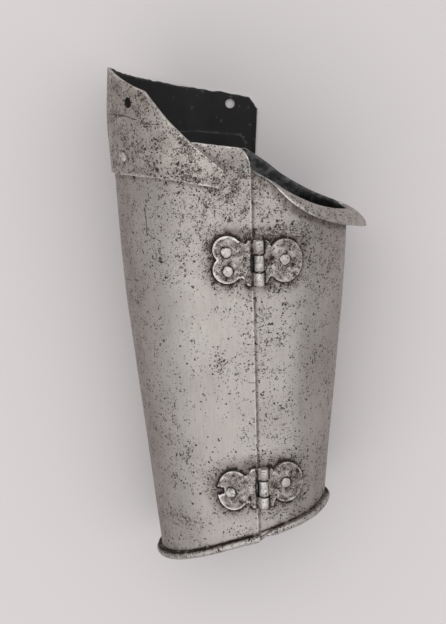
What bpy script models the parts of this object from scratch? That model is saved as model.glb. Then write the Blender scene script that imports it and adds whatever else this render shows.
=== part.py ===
"""Two-plate lower-arm vambrace, lying on a surface with its hinges up.

The limb has a frame of its own: Y runs along it from the wrist to the elbow, Z points to the hinge side
and X to the inner plate. An angle goes round the limb from the hinge side and grows towards X, and "out"
is a distance out of the outer plate's surface. The finished object is pitched so that it lies on its
wrist roll and on the extension, and its origin is at the bottom centre of its box.
"""

import math

import bmesh
import bpy
import numpy as np
from mathutils import Matrix, Vector

MM = 0.001

# The limb
LENGTH = 188 * MM
WRIST_HALF_WIDTH = 40.5 * MM
ELBOW_HALF_WIDTH = 55.9 * MM
WRIST_HALF_DEPTH = 34.5 * MM
ELBOW_HALF_DEPTH = 47.7 * MM
WRIST_SLANT = 0.22
BOTTOM_FLAT = math.radians(11)

# The sheet and what keeps its pieces apart
SHEET = 1.3 * MM
GAP = 0.3 * MM

# The two seams: the outer plate's edges, and how far the inner plate reaches under them
SEAM_X = 8.1 * MM
LAP_TO_RIVET = 0.2 * MM
FAR_LAP = 7 * MM
FAR_TUCK = 0.8 * MM
FAR_TUCK_START = 1.5 * MM
TUCK_FROM = math.radians(15)
TUCK_TO = math.radians(40)
NEAR_CORNER_WIDTH = 6 * MM
NEAR_CORNER_HEIGHT = 9.4 * MM
FAR_CORNER_WIDTH = 3.4 * MM
FAR_CORNER_HEIGHT = 6.5 * MM
NEAR_CORNER_STEPS = (0, 0.09, 0.27, 0.55, 0.95)
FAR_CORNER_STEPS = (1.2, 0.6, 0.25, 0)

# The rolled wrist hem
HEM_HEIGHT = 3.7 * MM
HEM_PROUD = 2.7 * MM
HEM_START = 0.8 * MM
HEM_TAPER = 6.6 * MM

# The inner plate's flange, at its widest
FLANGE_REACH = 9.9 * MM
FLANGE_DROP = 9.2 * MM

# The hinges
HINGE_X = 10.9 * MM
UPPER_HINGE = 134.5 * MM
LOWER_HINGE = 26.2 * MM
HINGE_LENGTH = 21.2 * MM
KNUCKLE_RADIUS = 2.3 * MM
KNUCKLE_CLEARANCE = 0.1 * MM
PIN_RADIUS = 1.0 * MM
PIN_HEAD_RADIUS = 1.6 * MM
PIN_HEAD_HEIGHT = 0.6 * MM
MIDDLE_KNUCKLE = 7.4 * MM
LEAF = 1.2 * MM
BEND_STEP = 3 * MM
BROKEN_HOLE_RADIUS = 2.2 * MM

# The rivets, the lacing holes and the closing stud
RIVET_HEAD = 2.4 * MM
RIVET_DOME = 1.3 * MM
RIVET_SHANK = 1.25 * MM
RIVET_BACK = 2.1 * MM
RIVET_BACK_HEIGHT = 0.7 * MM
LACING_RADIUS = 2.4 * MM
STUD_X = 4.0 * MM
STUD_PLACE = 79 * MM
STUD_HEAD = 1.0 * MM
CUTTER_REACH = 7 * MM

# How finely the round shapes are cut into facets
RIVET_SIDES = 10
KNUCKLE_SIDES = 14
LOBE_STEP = 22
OUTER_COLUMNS = 25
INNER_COLUMNS = 21
OUTER_FROM = math.radians(-4)
INNER_FROM = math.radians(19)
TANGENT_STEP = 1 * MM
MERGED = 1e-7

# Place along the limb as a share of LENGTH, then the share of the widening and of the deepening reached there
TAPER = (
    (-0.11, -0.13, -0.11),
    (0.0, 0.0, 0.0),
    (0.32, 0.396, 0.32),
    (0.64, 0.792, 0.64),
    (0.80, 0.909, 0.80),
    (0.93, 0.968, 0.93),
    (1.064, 1.045, 1.064),
    (1.18, 0.974, 1.18),
)

# Lateral place as a share of ELBOW_HALF_WIDTH, then the plate's elbow edge as a share of LENGTH
OUTER_TOP = ((-0.30, 1.008), (0.0, 0.996), (0.15, 0.992))
INNER_TOP = (
    (0.145, 0.943),
    (0.249, 0.931),
    (0.340, 0.915),
    (0.438, 0.891),
    (0.546, 0.870),
    (0.671, 0.851),
    (0.818, 0.835),
    (0.939, 0.825),
    (1.000, 0.819),
)

# Degrees from the nearer seam side, then the share of the full flange turned out there
FLARE = ((8.5, 0.0), (13.5, 0.12), (18.4, 0.18), (23.5, 0.41), (33, 0.60), (45, 0.71), (70, 0.85), (90, 1.0))

# Rows of the walls between the hem and the elbow edge, as shares
WALL_ROWS = (0.0, 0.15, 0.31, 0.47, 0.63, 0.79, 0.92, 1.0)
EXTENSION_ROWS = (0.0, 0.3, 0.65, 1.0)

# The hem's section: share of HEM_HEIGHT and share of HEM_PROUD on the roll, then the same row on a plain edge
HEM = (
    ((0.92, 0.45), (0.84, 0.0)),
    ((0.76, 0.85), (0.68, 0.0)),
    ((0.50, 1.00), (0.50, 0.0)),
    ((0.22, 0.86), (0.33, 0.0)),
    ((0.04, 0.48), (0.17, 0.0)),
    ((0.00, 0.00), (0.00, 0.0)),
)

# The flange's section, from the wall's outside over the rim to its inside: share of FLANGE_REACH and of
# FLANGE_DROP when turned out, then depth and rise in sheets on a plain edge
FLANGE = (
    ((0.00, -0.34), (0.00, -2.4)),
    ((0.06, -0.22), (0.00, -2.0)),
    ((0.17, -0.19), (0.00, -1.6)),
    ((0.40, -0.34), (0.00, -1.2)),
    ((0.64, -0.57), (0.00, -0.8)),
    ((0.80, -0.79), (0.00, -0.4)),
    ((0.87, -1.03), (0.00, -0.1)),
    ((1.00, -1.00), (0.10, 0.0)),
    ((0.93, -0.74), (0.28, 0.0)),
    ((0.74, -0.46), (0.46, 0.0)),
    ((0.47, -0.20), (0.64, 0.0)),
    ((0.20, -0.03), (0.82, 0.0)),
    ((0.02, 0.00), (1.00, 0.0)),
)

# The extension, round from its pointed near end to its far end: degrees and share of LENGTH at the
# wrist-side edge, then degrees and share of LENGTH at the elbow-side edge
EXTENSION = (
    (-6.5, 0.900, -4.0, 0.942),
    (-12.5, 0.906, -11.5, 0.975),
    (-19.6, 0.912, -18.4, 1.007),
    (-28.4, 0.920, -28.9, 1.059),
    (-35.0, 0.923, -36.0, 1.098),
    (-40.0, 0.925, -41.9, 1.129),
    (-47.5, 0.926, -48.5, 1.139),
    (-55.0, 0.927, -55.4, 1.150),
    (-64.0, 0.927, -64.5, 1.164),
    (-73.0, 0.927, -73.8, 1.177),
    (-82.0, 0.927, -82.0, 1.183),
    (-90.0, 0.927, -90.0, 1.185),
    (-98.0, 0.926, -98.0, 1.182),
    (-107.0, 0.925, -107.0, 1.174),
    (-116.0, 0.924, -116.0, 1.166),
    (-125.0, 0.923, -125.0, 1.158),
    (-134.0, 0.922, -134.0, 1.150),
    (-143.0, 0.920, -143.0, 1.141),
    (-151.0, 0.918, -151.0, 1.132),
    (-160.0, 0.916, -160.0, 1.124),
    (-169.0, 0.913, -169.0, 1.115),
    (-180.0, 0.908, -180.0, 1.105),
    (-189.0, 0.903, -190.1, 1.094),
    (-191.0, 0.902, -192.0, 1.080),
    (-192.6, 0.900, -194.3, 1.062),
)

# Degrees round the limb and share of LENGTH of what goes through the extension
LACING_HOLES = ((-53.0, 1.102), (-180.6, 1.077))
EXTENSION_RIVETS = (("near", -59.3, 0.971), ("far", -150.0, 0.952))

# The leaves, all in shares of HINGE_LENGTH from the hinge's centre: reach away from the pin, place along
# it. A lobe is an elliptic arc: its centre, its two radii, then its first and last degrees. The points go
# from the wrist side to the elbow side
UPPER_OUTER_LEAF = {
    "wrist_wing": ((0.21, -0.49), (0.25, -0.47)),
    "wrist_notch": (0.36, -0.31),
    "lobes": ((0.675, -0.127, 0.30, 0.30, -142, 45), (0.670, 0.307, 0.30, 0.30, -45, 140)),
    "elbow_notch": (0.275, 0.42),
    "elbow_wing": ((0.23, 0.49), (0.19, 0.50)),
    "rivets": ((0.693, 0.255), (0.665, -0.156)),
}
UPPER_INNER_LEAF = {
    "wrist_wing": ((0.14, -0.47), (0.18, -0.45)),
    "wrist_notch": (0.235, -0.31),
    "lobes": ((0.560, 0.015, 0.355, 0.475, -135, 140),),
    "elbow_notch": (0.28, 0.32),
    "elbow_wing": ((0.21, 0.46), (0.16, 0.48)),
    "rivets": ((0.557, 0.038),),
}
LOWER_OUTER_LEAF = {
    "wrist_wing": ((0.20, -0.45), (0.24, -0.44)),
    "wrist_notch": (0.35, -0.31),
    "lobes": ((0.665, -0.02, 0.345, 0.455, -128, 122),),
    "elbow_notch": (0.395, 0.31),
    "elbow_wing": ((0.27, 0.46), (0.22, 0.47)),
    "rivets": ((0.726, -0.071),),
}
LOWER_INNER_LEAF = {
    "wrist_wing": ((0.16, -0.47), (0.21, -0.46)),
    "wrist_notch": (0.275, -0.26),
    "lobes": ((0.505, 0.075, 0.335, 0.465, -140, 138),),
    "elbow_notch": (0.24, 0.34),
    "elbow_wing": ((0.19, 0.43), (0.15, 0.44)),
    "rivets": ((0.486, 0.066),),
}
BROKEN_HOLE = (0.960, -0.033)

# Turned profiles: share of the radius, then share of the height
RIVET_HEAD_PROFILE = ((0, 1), (0.55, 0.84), (0.90, 0.42), (1, 0))
STUD_HEAD_PROFILE = ((0, 1), (0.8, 1), (1, 0.5), (1, 0))
BACK_PROFILE = ((1, 0), (0.8, 1), (0, 1))

# Colour and roughness
STEEL = ((0.42, 0.40, 0.38), 0.40)
PALE_STEEL = ((0.55, 0.53, 0.50), 0.35)
DARK_STEEL = ((0.30, 0.28, 0.27), 0.45)


def blend(start, end, share):
    return start + (end - start) * share


def looked_up(value, table, column=1):
    """The table's column at this value of its first column, straight between its rows."""
    return float(np.interp(value, [row[0] for row in table], [row[column] for row in table]))


def half_axes(s):
    """Half the width and half the depth of the outer plate's surface at the place s along the limb."""
    width = looked_up(s / LENGTH, TAPER, 1)
    depth = looked_up(s / LENGTH, TAPER, 2)
    return (
        blend(WRIST_HALF_WIDTH, ELBOW_HALF_WIDTH, width),
        blend(WRIST_HALF_DEPTH, ELBOW_HALF_DEPTH, depth),
    )


def on_limb(s, angle, out):
    """The limb's section is an ellipse whose far side, which the arm's inside bears on, is a narrow flat."""
    half_width, half_depth = half_axes(s)
    height = max(math.cos(angle), -math.cos(BOTTOM_FLAT))
    return Vector(((half_width + out) * math.sin(angle), s, (half_depth + out) * height))


def surface_frame(s, angle, out):
    """A frame on the limb with its Z axis along the surface's outward normal."""
    along = on_limb(s + TANGENT_STEP, angle, out) - on_limb(s - TANGENT_STEP, angle, out)
    turn = TANGENT_STEP / ELBOW_HALF_WIDTH
    across_limb = on_limb(s, angle + turn, out) - on_limb(s, angle - turn, out)
    normal = across_limb.cross(along).normalized()
    side = along.normalized()
    frame = Matrix((side.cross(normal), side, normal)).transposed().to_4x4()
    frame.translation = on_limb(s, angle, out)
    return frame


def at_angle(angle):
    """A column of a wall that keeps one angle."""
    return lambda s: angle


def at_lateral(x, turn=0):
    """A column that keeps one lateral place.

    It is on the near side at turn 0, and on the far side, reached past -X or past +X, at turn -1 or 1.
    """

    def angle(s):
        near = math.asin(x / half_axes(s)[0])
        return turn * math.pi + (near if turn == 0 else -near)

    return angle


def between(first, last, count):
    return [at_angle(angle) for angle in np.linspace(first, last, count)]


def lateral(column, s):
    return half_axes(s)[0] * math.sin(column(s))


def wrist_edge(column):
    """The wrist edge is one slanted plane cut."""
    return WRIST_SLANT * lateral(column, 0)


def corner_drop(distance, width, height):
    """How far a rounded corner, an elliptic quarter, falls at this distance from the free edge."""
    share = max(0.0, 1 - distance / width)
    return height * (1 - math.sqrt(1 - share * share))


def outer_top(column):
    x = lateral(column, LENGTH)
    top = LENGTH * looked_up(x / ELBOW_HALF_WIDTH, OUTER_TOP)
    if math.cos(column(LENGTH)) < 0:
        return top - corner_drop(SEAM_X - x, FAR_CORNER_WIDTH, FAR_CORNER_HEIGHT)
    return top - corner_drop(SEAM_X - x, NEAR_CORNER_WIDTH, NEAR_CORNER_HEIGHT)


def inner_top(column):
    crest = INNER_TOP[-1][1] * LENGTH
    return LENGTH * looked_up(lateral(column, crest) / ELBOW_HALF_WIDTH, INNER_TOP)


def seam_angle(angle):
    """How far this angle of the inner plate is from its nearer seam side."""
    return min(angle, math.pi - angle)


def inner_out(s, angle):
    """The inner plate's surface: flush at its middle, and a sheet and a gap deeper under the outer plate.

    At the far seam it is tucked in further, so that its edge swings out past the outer plate's edge.
    """
    share = (seam_angle(angle) - TUCK_FROM) / (TUCK_TO - TUCK_FROM)
    share = min(1.0, max(0.0, share))
    tuck = (SHEET + GAP) * (1 - share * share * (3 - 2 * share))
    if math.cos(angle) < 0:
        x = half_axes(s)[0] * math.sin(angle)
        reach = SEAM_X + FAR_TUCK_START - x
        tuck += FAR_TUCK * max(0.0, reach / (FAR_LAP + FAR_TUCK_START))
    return -tuck


def hem_rows(edge, size, base):
    """The rolled hem's outer rows, from the wall down to the edge. At size 0 it is a plain edge."""
    rows = []
    for rolled, plain in HEM:
        rise = blend(plain[0], rolled[0], size) * HEM_HEIGHT
        rows.append((edge + rise, base + blend(plain[1], rolled[1], size) * HEM_PROUD))
    return rows


def outer_section(column):
    """The closed section of the outer plate in one column, as places along the limb and distances out."""
    edge = wrist_edge(column)
    start, top = edge + HEM_HEIGHT, outer_top(column)
    rows = [blend(start, top, share) for share in WALL_ROWS]
    outside = [(s, 0.0) for s in reversed(rows)]
    inside = [(s, -SHEET) for s in [edge] + rows]
    return outside + hem_rows(edge, 1.0, 0.0) + inside


def inner_section(column):
    """The closed section of the inner plate in one column, with its hem and its flange."""
    edge, top = wrist_edge(column), inner_top(column)
    from_seam = lateral(column, 0) - SEAM_X - HEM_START
    hem = min(1.0, max(0.0, from_seam / HEM_TAPER))
    flare = looked_up(math.degrees(seam_angle(column(top))), FLARE)
    below = top - blend(-FLANGE[0][1][1] * SHEET, -FLANGE[0][0][1] * FLANGE_DROP, flare)
    start = edge + HEM_HEIGHT
    rows = [blend(start, below, share) for share in WALL_ROWS[:-1]]

    def base(s):
        return inner_out(s, column(s))

    flange = []
    for turned_out, plain in FLANGE:
        out = blend(-plain[0] * SHEET, turned_out[0] * FLANGE_REACH, flare)
        rise = blend(plain[1] * SHEET, turned_out[1] * FLANGE_DROP, flare)
        flange.append((top + rise, base(top) + out))
    outside = [(s, base(s)) for s in reversed(rows)]
    inside = [(s, base(s) - SHEET) for s in [edge] + rows + [below]]
    return flange[::-1] + outside + hem_rows(edge, hem, base(edge)) + inside


def extension_section(row):
    low, high = row[1] * LENGTH, row[3] * LENGTH
    rows = [blend(low, high, share) for share in EXTENSION_ROWS]
    outside = [(s, GAP + SHEET) for s in reversed(rows)]
    return outside + [(s, GAP) for s in rows]


def extension_column(row):
    """A column whose angle goes straight from the wrist-side edge to the elbow-side edge."""
    low, high = row[1] * LENGTH, row[3] * LENGTH
    return lambda s: math.radians(blend(row[0], row[2], (s - low) / (high - low)))


def new_object(name, shape, place=None):
    """Makes an object of a bmesh whose points are in the limb's frame."""
    mesh = bpy.data.meshes.new(name)
    bmesh.ops.recalc_face_normals(shape, faces=shape.faces)
    if shape.calc_volume(signed=True) < 0:
        bmesh.ops.reverse_faces(shape, faces=shape.faces)
    shape.to_mesh(mesh)
    shape.free()
    thing = bpy.data.objects.new(name, mesh)
    bpy.context.scene.collection.objects.link(thing)
    if place:
        mesh.transform(place.matrix_local.inverted() if place.parent else Matrix())
        thing.parent = place
    return thing


def finished(thing, finish):
    colour, roughness = finish
    material = bpy.data.materials.new(thing.name)
    material.use_nodes = True
    shader = material.node_tree.nodes["Principled BSDF"]
    shader.inputs["Base Color"].default_value = (*colour, 1)
    shader.inputs["Roughness"].default_value = roughness
    shader.inputs["Metallic"].default_value = 1.0
    thing.data.materials.append(material)
    thing.data.shade_smooth()
    thing.data.set_sharp_from_angle(angle=math.radians(35))
    return thing


def helper(name, shape, place):
    """A cutter, or a piece that a Boolean joins to another."""
    thing = new_object(name, shape, place)
    thing.hide_render = True
    thing.display_type = "WIRE"
    return thing


def combine(thing, other, operation):
    modifier = thing.modifiers.new(f"{operation.lower()}_{other.name}", "BOOLEAN")
    modifier.object = other
    modifier.operation = operation
    modifier.solver = "EXACT"


def wall(columns, sections):
    """Bridges closed sections, one for each column, and closes the two ends."""
    shape = bmesh.new()
    rings = [
        [shape.verts.new(on_limb(s, column(s), out)) for s, out in section]
        for column, section in zip(columns, sections)
    ]
    for left, right in zip(rings, rings[1:]):
        for k in range(len(left)):
            shape.faces.new((left[k - 1], left[k], right[k], right[k - 1]))
    shape.faces.new(rings[0])
    shape.faces.new(rings[-1])
    return shape


def turned(profile, sides, frame):
    """Turns a profile of radii and heights, which starts and ends on the axis, round the frame's Z axis."""
    shape = bmesh.new()
    chain = [shape.verts.new((radius, 0, height)) for radius, height in profile]
    edges = [shape.edges.new(pair) for pair in zip(chain, chain[1:])]
    bmesh.ops.spin(
        shape, geom=chain + edges, cent=(0, 0, 0), axis=(0, 0, 1), angle=math.tau, steps=sides, use_merge=True
    )
    bmesh.ops.remove_doubles(shape, verts=shape.verts, dist=MERGED)
    shape.transform(frame)
    return shape


def rod(radius, low, high, sides, frame):
    return turned([(0, low), (radius, low), (radius, high), (0, high)], sides, frame)


def rivet(name, frame, top, bottom, parent):
    """A rivet through a stack whose top and bottom are heights in the frame, with a gap at either end."""
    head, back = top + GAP, bottom - GAP
    profile = fastener_profile(RIVET_HEAD_PROFILE, RIVET_DOME, head, back)
    return finished(new_object(name, turned(profile, RIVET_SIDES, frame), parent), PALE_STEEL)


def fastener_profile(head_profile, head_height, head, back):
    """The head above the height "head", the shank, and the clenched back below the height "back"."""
    profile = [(r * RIVET_HEAD, head + h * head_height) for r, h in head_profile]
    profile += [(RIVET_SHANK, head), (RIVET_SHANK, back)]
    return profile + [(r * RIVET_BACK, back - h * RIVET_BACK_HEIGHT) for r, h in BACK_PROFILE]


def hole(name, frame, radius, parent):
    return helper(name, rod(radius, -CUTTER_REACH, CUTTER_REACH, RIVET_SIDES, frame), parent)


def hinge_frame(s):
    """The hinge's centre on the common pin axis, with Z along the axis to the elbow and X across it."""
    centres = [pin_centre(place) for place in (LOWER_HINGE, UPPER_HINGE)]
    axis = (centres[1] - centres[0]).normalized()
    share = (s - LOWER_HINGE) / (UPPER_HINGE - LOWER_HINGE)
    side = Vector((1, 0, 0))
    frame = Matrix((side, axis.cross(side), axis)).transposed().to_4x4()
    frame.translation = blend(centres[0], centres[1], share)
    return frame


def pin_centre(s):
    """The barrel lies over the inner plate, clear of it."""
    surface = -SHEET - GAP
    return on_limb(s, at_lateral(HINGE_X)(s), surface + GAP + KNUCKLE_CLEARANCE + KNUCKLE_RADIUS)


def leaf_outline(leaf, has_middle):
    """The flat outline: reach from the pin, place along it. It is cut back at the other leaf's knuckles."""
    size = HINGE_LENGTH
    clear = (KNUCKLE_RADIUS + GAP) / size
    middle = MIDDLE_KNUCKLE / 2 / size
    points = list(leaf["wrist_wing"]) + [leaf["wrist_notch"]]
    for u, v, radius_u, radius_v, first, last in leaf["lobes"]:
        steps = math.ceil((last - first) / LOBE_STEP)
        for angle in np.radians(np.linspace(first, last, steps + 1)):
            points.append((u + radius_u * math.cos(angle), v + radius_v * math.sin(angle)))
    points += [leaf["elbow_notch"]] + list(leaf["elbow_wing"])
    low, high = leaf["wrist_wing"][0][1], leaf["elbow_wing"][-1][1]
    if has_middle:
        barrel = [(clear, high), (clear, middle), (0, middle), (0, -middle), (clear, -middle), (clear, low)]
    else:
        apart = middle + GAP / size
        barrel = [(0, high), (0, apart), (clear, apart), (clear, -apart), (0, -apart), (0, low)]
    return [(u * size, v * size) for u, v in points + barrel]


def leaf_plate(leaf, centre, side, out):
    """The leaf, bent over the surface that out gives. side is -1 for the outer plate's leaf."""
    outline = leaf_outline(leaf, side > 0)
    shape = bmesh.new()
    shape.faces.new([shape.verts.new((u, v, 0)) for u, v in outline])
    furthest = max(u for u, _ in outline)
    for u in np.arange(BEND_STEP, furthest, BEND_STEP):
        geometry = shape.verts[:] + shape.edges[:] + shape.faces[:]
        bmesh.ops.bisect_plane(shape, geom=geometry, dist=MERGED, plane_co=(u, 0, 0), plane_no=(1, 0, 0))
    grown = bmesh.ops.extrude_face_region(shape, geom=shape.faces[:])["geom"]
    raised = [item for item in grown if isinstance(item, bmesh.types.BMVert)]
    bmesh.ops.translate(shape, verts=raised, vec=(0, 0, LEAF))
    for vertex in shape.verts:
        s = centre + vertex.co.y
        angle = math.asin((HINGE_X + side * vertex.co.x) / half_axes(s)[0])
        vertex.co = on_limb(s, angle, out(s, angle) + GAP + vertex.co.z)
    return shape


def outer_out(s, angle):
    return 0.0


def make_hinge(name, centre, outer_leaf, inner_leaf, root, swing, plates):
    """Both leaves, the pin and the rivets of one hinge. The outer leaf is returned."""
    frame = hinge_frame(centre)
    half = HINGE_LENGTH / 2
    middle = MIDDLE_KNUCKLE / 2
    spans = {
        "outer": ((-half, -middle - GAP), (middle + GAP, half)),
        "inner": ((-middle, middle),),
    }
    sides = (
        ("outer", outer_leaf, -1, outer_out, root),
        ("inner", inner_leaf, 1, inner_out, swing),
    )
    made = {}
    for label, leaf, side, out, parent in sides:
        title = f"{name}_{label}_leaf"
        thing = new_object(title, leaf_plate(leaf, centre, side, out), parent)
        for index, (low, high) in enumerate(spans[label]):
            knuckle = rod(KNUCKLE_RADIUS, low, high, KNUCKLE_SIDES, frame)
            combine(thing, helper(f"{title}_knuckle_{index}", knuckle, parent), "UNION")
        bore = rod(PIN_RADIUS + GAP, -2 * half, 2 * half, KNUCKLE_SIDES, frame)
        combine(thing, helper(f"{title}_bore", bore, parent), "DIFFERENCE")
        for index, (reach, place) in enumerate(leaf["rivets"]):
            s = centre + place * HINGE_LENGTH
            angle = math.asin((HINGE_X + side * reach * HINGE_LENGTH) / half_axes(s)[0])
            spot = surface_frame(s, angle, out(s, angle))
            cutter = hole(f"{title}_hole_{index}", spot, RIVET_SHANK + GAP, parent)
            combine(thing, cutter, "DIFFERENCE")
            combine(plates[label], cutter, "DIFFERENCE")
            letter = f"_{'ab'[index]}" if len(leaf["rivets"]) > 1 else ""
            rivet(f"{name}_{label}_rivet{letter}", spot, GAP + LEAF, -SHEET, parent)
        made[label] = finished(thing, STEEL)
    end, head = half + GAP, half + GAP + PIN_HEAD_HEIGHT
    profile = [(0, head), (PIN_HEAD_RADIUS, head), (PIN_HEAD_RADIUS, end), (PIN_RADIUS, end)]
    profile += [(radius, -height) for radius, height in reversed(profile)]
    finished(new_object(f"{name}_pin", turned(profile, RIVET_SIDES, frame), root), DARK_STEEL)
    return made["outer"]


def make_outer_plate(root):
    near = [at_lateral(SEAM_X - share * NEAR_CORNER_WIDTH) for share in NEAR_CORNER_STEPS]
    far = [at_lateral(SEAM_X - share * FAR_CORNER_WIDTH, -1) for share in FAR_CORNER_STEPS]
    round_side = between(OUTER_FROM, -math.pi + BOTTOM_FLAT, OUTER_COLUMNS)
    columns = near + round_side + [at_angle(-math.pi)] + far
    plate = new_object("outer_plate", wall(columns, [outer_section(c) for c in columns]), root)
    return finished(plate, STEEL)


def near_lap_edge():
    """The inner plate reaches under the outer one as far as the hinges' nearest rivet backs let it."""
    reaches = [reach for leaf in (UPPER_OUTER_LEAF, LOWER_OUTER_LEAF) for reach, _ in leaf["rivets"]]
    return HINGE_X - min(reaches) * HINGE_LENGTH + RIVET_BACK + LAP_TO_RIVET


def make_inner_plate(swing):
    edge = near_lap_edge()
    near_places = (edge, (edge + SEAM_X) / 2, SEAM_X, SEAM_X + HEM_START, HINGE_X)
    far_places = (HINGE_X, SEAM_X + HEM_START, SEAM_X, SEAM_X - FAR_LAP / 2, SEAM_X - FAR_LAP)
    columns = [at_lateral(x) for x in near_places]
    columns += between(INNER_FROM, math.pi - INNER_FROM, INNER_COLUMNS)
    columns += [at_lateral(x, 1) for x in far_places]
    plate = new_object("inner_plate", wall(columns, [inner_section(c) for c in columns]), swing)
    return finished(plate, STEEL)


def make_extension(root):
    columns = [extension_column(row) for row in EXTENSION]
    shape = wall(columns, [extension_section(row) for row in EXTENSION])
    extension = new_object("elbow_extension", shape, root)
    for index, (degrees, share) in enumerate(LACING_HOLES):
        frame = surface_frame(share * LENGTH, math.radians(degrees), GAP + SHEET)
        combine(extension, hole(f"lacing_{index}", frame, LACING_RADIUS, root), "DIFFERENCE")
    return finished(extension, STEEL)


def make_extension_rivets(root, plates):
    for label, degrees, share in EXTENSION_RIVETS:
        frame = surface_frame(share * LENGTH, math.radians(degrees), 0)
        cutter = hole(f"extension_{label}_hole", frame, RIVET_SHANK + GAP, root)
        for plate in plates:
            combine(plate, cutter, "DIFFERENCE")
        rivet(f"extension_rivet_{label}", frame, GAP + SHEET, -SHEET, root)


def make_broken_hole(leaf, root):
    """The lower outer leaf's torn hole, which is open at the leaf's edge and stops above the plate."""
    s = LOWER_HINGE + BROKEN_HOLE[1] * HINGE_LENGTH
    angle = math.asin((HINGE_X - BROKEN_HOLE[0] * HINGE_LENGTH) / half_axes(s)[0])
    above = surface_frame(s, angle, CUTTER_REACH)
    combine(leaf, hole("broken_hole", above, BROKEN_HOLE_RADIUS, root), "DIFFERENCE")


def make_closing_stud(root, swing, plates):
    """A plain stud on the inner plate's far edge, in a slot that is open at the outer plate's edge."""
    angle = at_lateral(STUD_X, 1)(STUD_PLACE)
    frame = surface_frame(STUD_PLACE, angle, 0)
    tuck = inner_out(STUD_PLACE, angle)
    combine(plates["inner"], hole("stud_hole", frame, RIVET_SHANK + GAP, swing), "DIFFERENCE")
    slot = bmesh.new()
    half = RIVET_SHANK + GAP
    length = SEAM_X - STUD_X + 2 * half
    bmesh.ops.create_cube(slot, size=1)
    bmesh.ops.scale(slot, vec=(length + half, 2 * half, 2 * CUTTER_REACH), verts=slot.verts)
    toward_edge = 1 if frame.col[0].x > 0 else -1
    bmesh.ops.translate(slot, vec=(toward_edge * ((length + half) / 2 - half), 0, 0), verts=slot.verts)
    slot.transform(frame)
    combine(plates["outer"], helper("stud_slot", slot, root), "DIFFERENCE")
    slope = FAR_TUCK / (FAR_LAP + FAR_TUCK_START)
    back = tuck - SHEET - GAP - RIVET_BACK * slope
    profile = fastener_profile(STUD_HEAD_PROFILE, STUD_HEAD, GAP, back)
    finished(new_object("closing_stud", turned(profile, RIVET_SIDES, frame), swing), DARK_STEEL)


def lower_hull(points):
    """The lower outline of points in a plane, from left to right."""
    hull = []
    for point in sorted(points):
        while len(hull) > 1 and turns_down(hull[-2], hull[-1], point):
            hull.pop()
        hull.append(point)
    return hull


def turns_down(first, middle, last):
    rise = (middle[0] - first[0]) * (last[1] - first[1])
    run = (middle[1] - first[1]) * (last[0] - first[0])
    return rise <= run


def lay_down(root, things):
    """Pitches the limb onto the two places it lies on, and sets the origin under the middle of its box."""
    bpy.context.view_layer.update()
    corners = [thing.matrix_world @ vertex.co for thing in things for vertex in thing.data.vertices]
    middle = sum(corner.y for corner in corners) / len(corners)
    hull = lower_hull([(corner.y, corner.z) for corner in corners])
    wrist, elbow = next(pair for pair in zip(hull, hull[1:]) if pair[0][0] <= middle <= pair[1][0])
    pitch = -math.atan2(elbow[1] - wrist[1], elbow[0] - wrist[0])
    turn = Matrix.Rotation(pitch, 4, "X")
    box = np.array([turn @ corner for corner in corners])
    low, high = box.min(axis=0), box.max(axis=0)
    root.rotation_euler = (pitch, 0, 0)
    root.location = (-(low[0] + high[0]) / 2, -(low[1] + high[1]) / 2, -low[2])


def empty(name, parent=None, frame=None):
    thing = bpy.data.objects.new(name, None)
    bpy.context.scene.collection.objects.link(thing)
    thing.parent = parent
    if frame:
        thing.matrix_local = frame
    thing.empty_display_size = HINGE_LENGTH
    return thing


def clear_scene():
    for thing in list(bpy.data.objects):
        bpy.data.objects.remove(thing, do_unlink=True)


def main():
    clear_scene()
    root = empty("vambrace")
    swing = empty("hinge_axis", root, hinge_frame(UPPER_HINGE))
    bpy.context.view_layer.update()
    plates = {"outer": make_outer_plate(root), "inner": make_inner_plate(swing)}
    extension = make_extension(root)
    make_hinge("upper", UPPER_HINGE, UPPER_OUTER_LEAF, UPPER_INNER_LEAF, root, swing, plates)
    lower_leaf = make_hinge("lower", LOWER_HINGE, LOWER_OUTER_LEAF, LOWER_INNER_LEAF, root, swing, plates)
    make_broken_hole(lower_leaf, root)
    make_extension_rivets(root, (plates["outer"], extension))
    make_closing_stud(root, swing, plates)
    nodes = [thing for thing in bpy.data.objects if thing.type == "MESH" and not thing.hide_render]
    lay_down(root, nodes)


main()
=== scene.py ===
import math

import bmesh
import bpy
from mathutils import Matrix, Vector, kdtree, noise


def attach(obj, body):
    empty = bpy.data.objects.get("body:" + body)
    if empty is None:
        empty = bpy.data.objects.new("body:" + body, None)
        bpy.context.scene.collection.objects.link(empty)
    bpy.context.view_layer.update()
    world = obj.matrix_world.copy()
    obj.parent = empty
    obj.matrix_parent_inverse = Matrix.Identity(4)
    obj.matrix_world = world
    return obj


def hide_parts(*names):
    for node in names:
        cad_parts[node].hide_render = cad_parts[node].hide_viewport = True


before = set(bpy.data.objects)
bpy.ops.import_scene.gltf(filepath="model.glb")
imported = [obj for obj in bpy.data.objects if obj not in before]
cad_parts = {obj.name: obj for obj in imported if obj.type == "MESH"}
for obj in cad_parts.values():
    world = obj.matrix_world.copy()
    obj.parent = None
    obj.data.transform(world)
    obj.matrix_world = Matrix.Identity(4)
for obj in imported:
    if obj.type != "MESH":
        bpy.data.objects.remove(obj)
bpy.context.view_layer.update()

mm = 0.001
print("frame loaded:", len(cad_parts), "solids")

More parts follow.
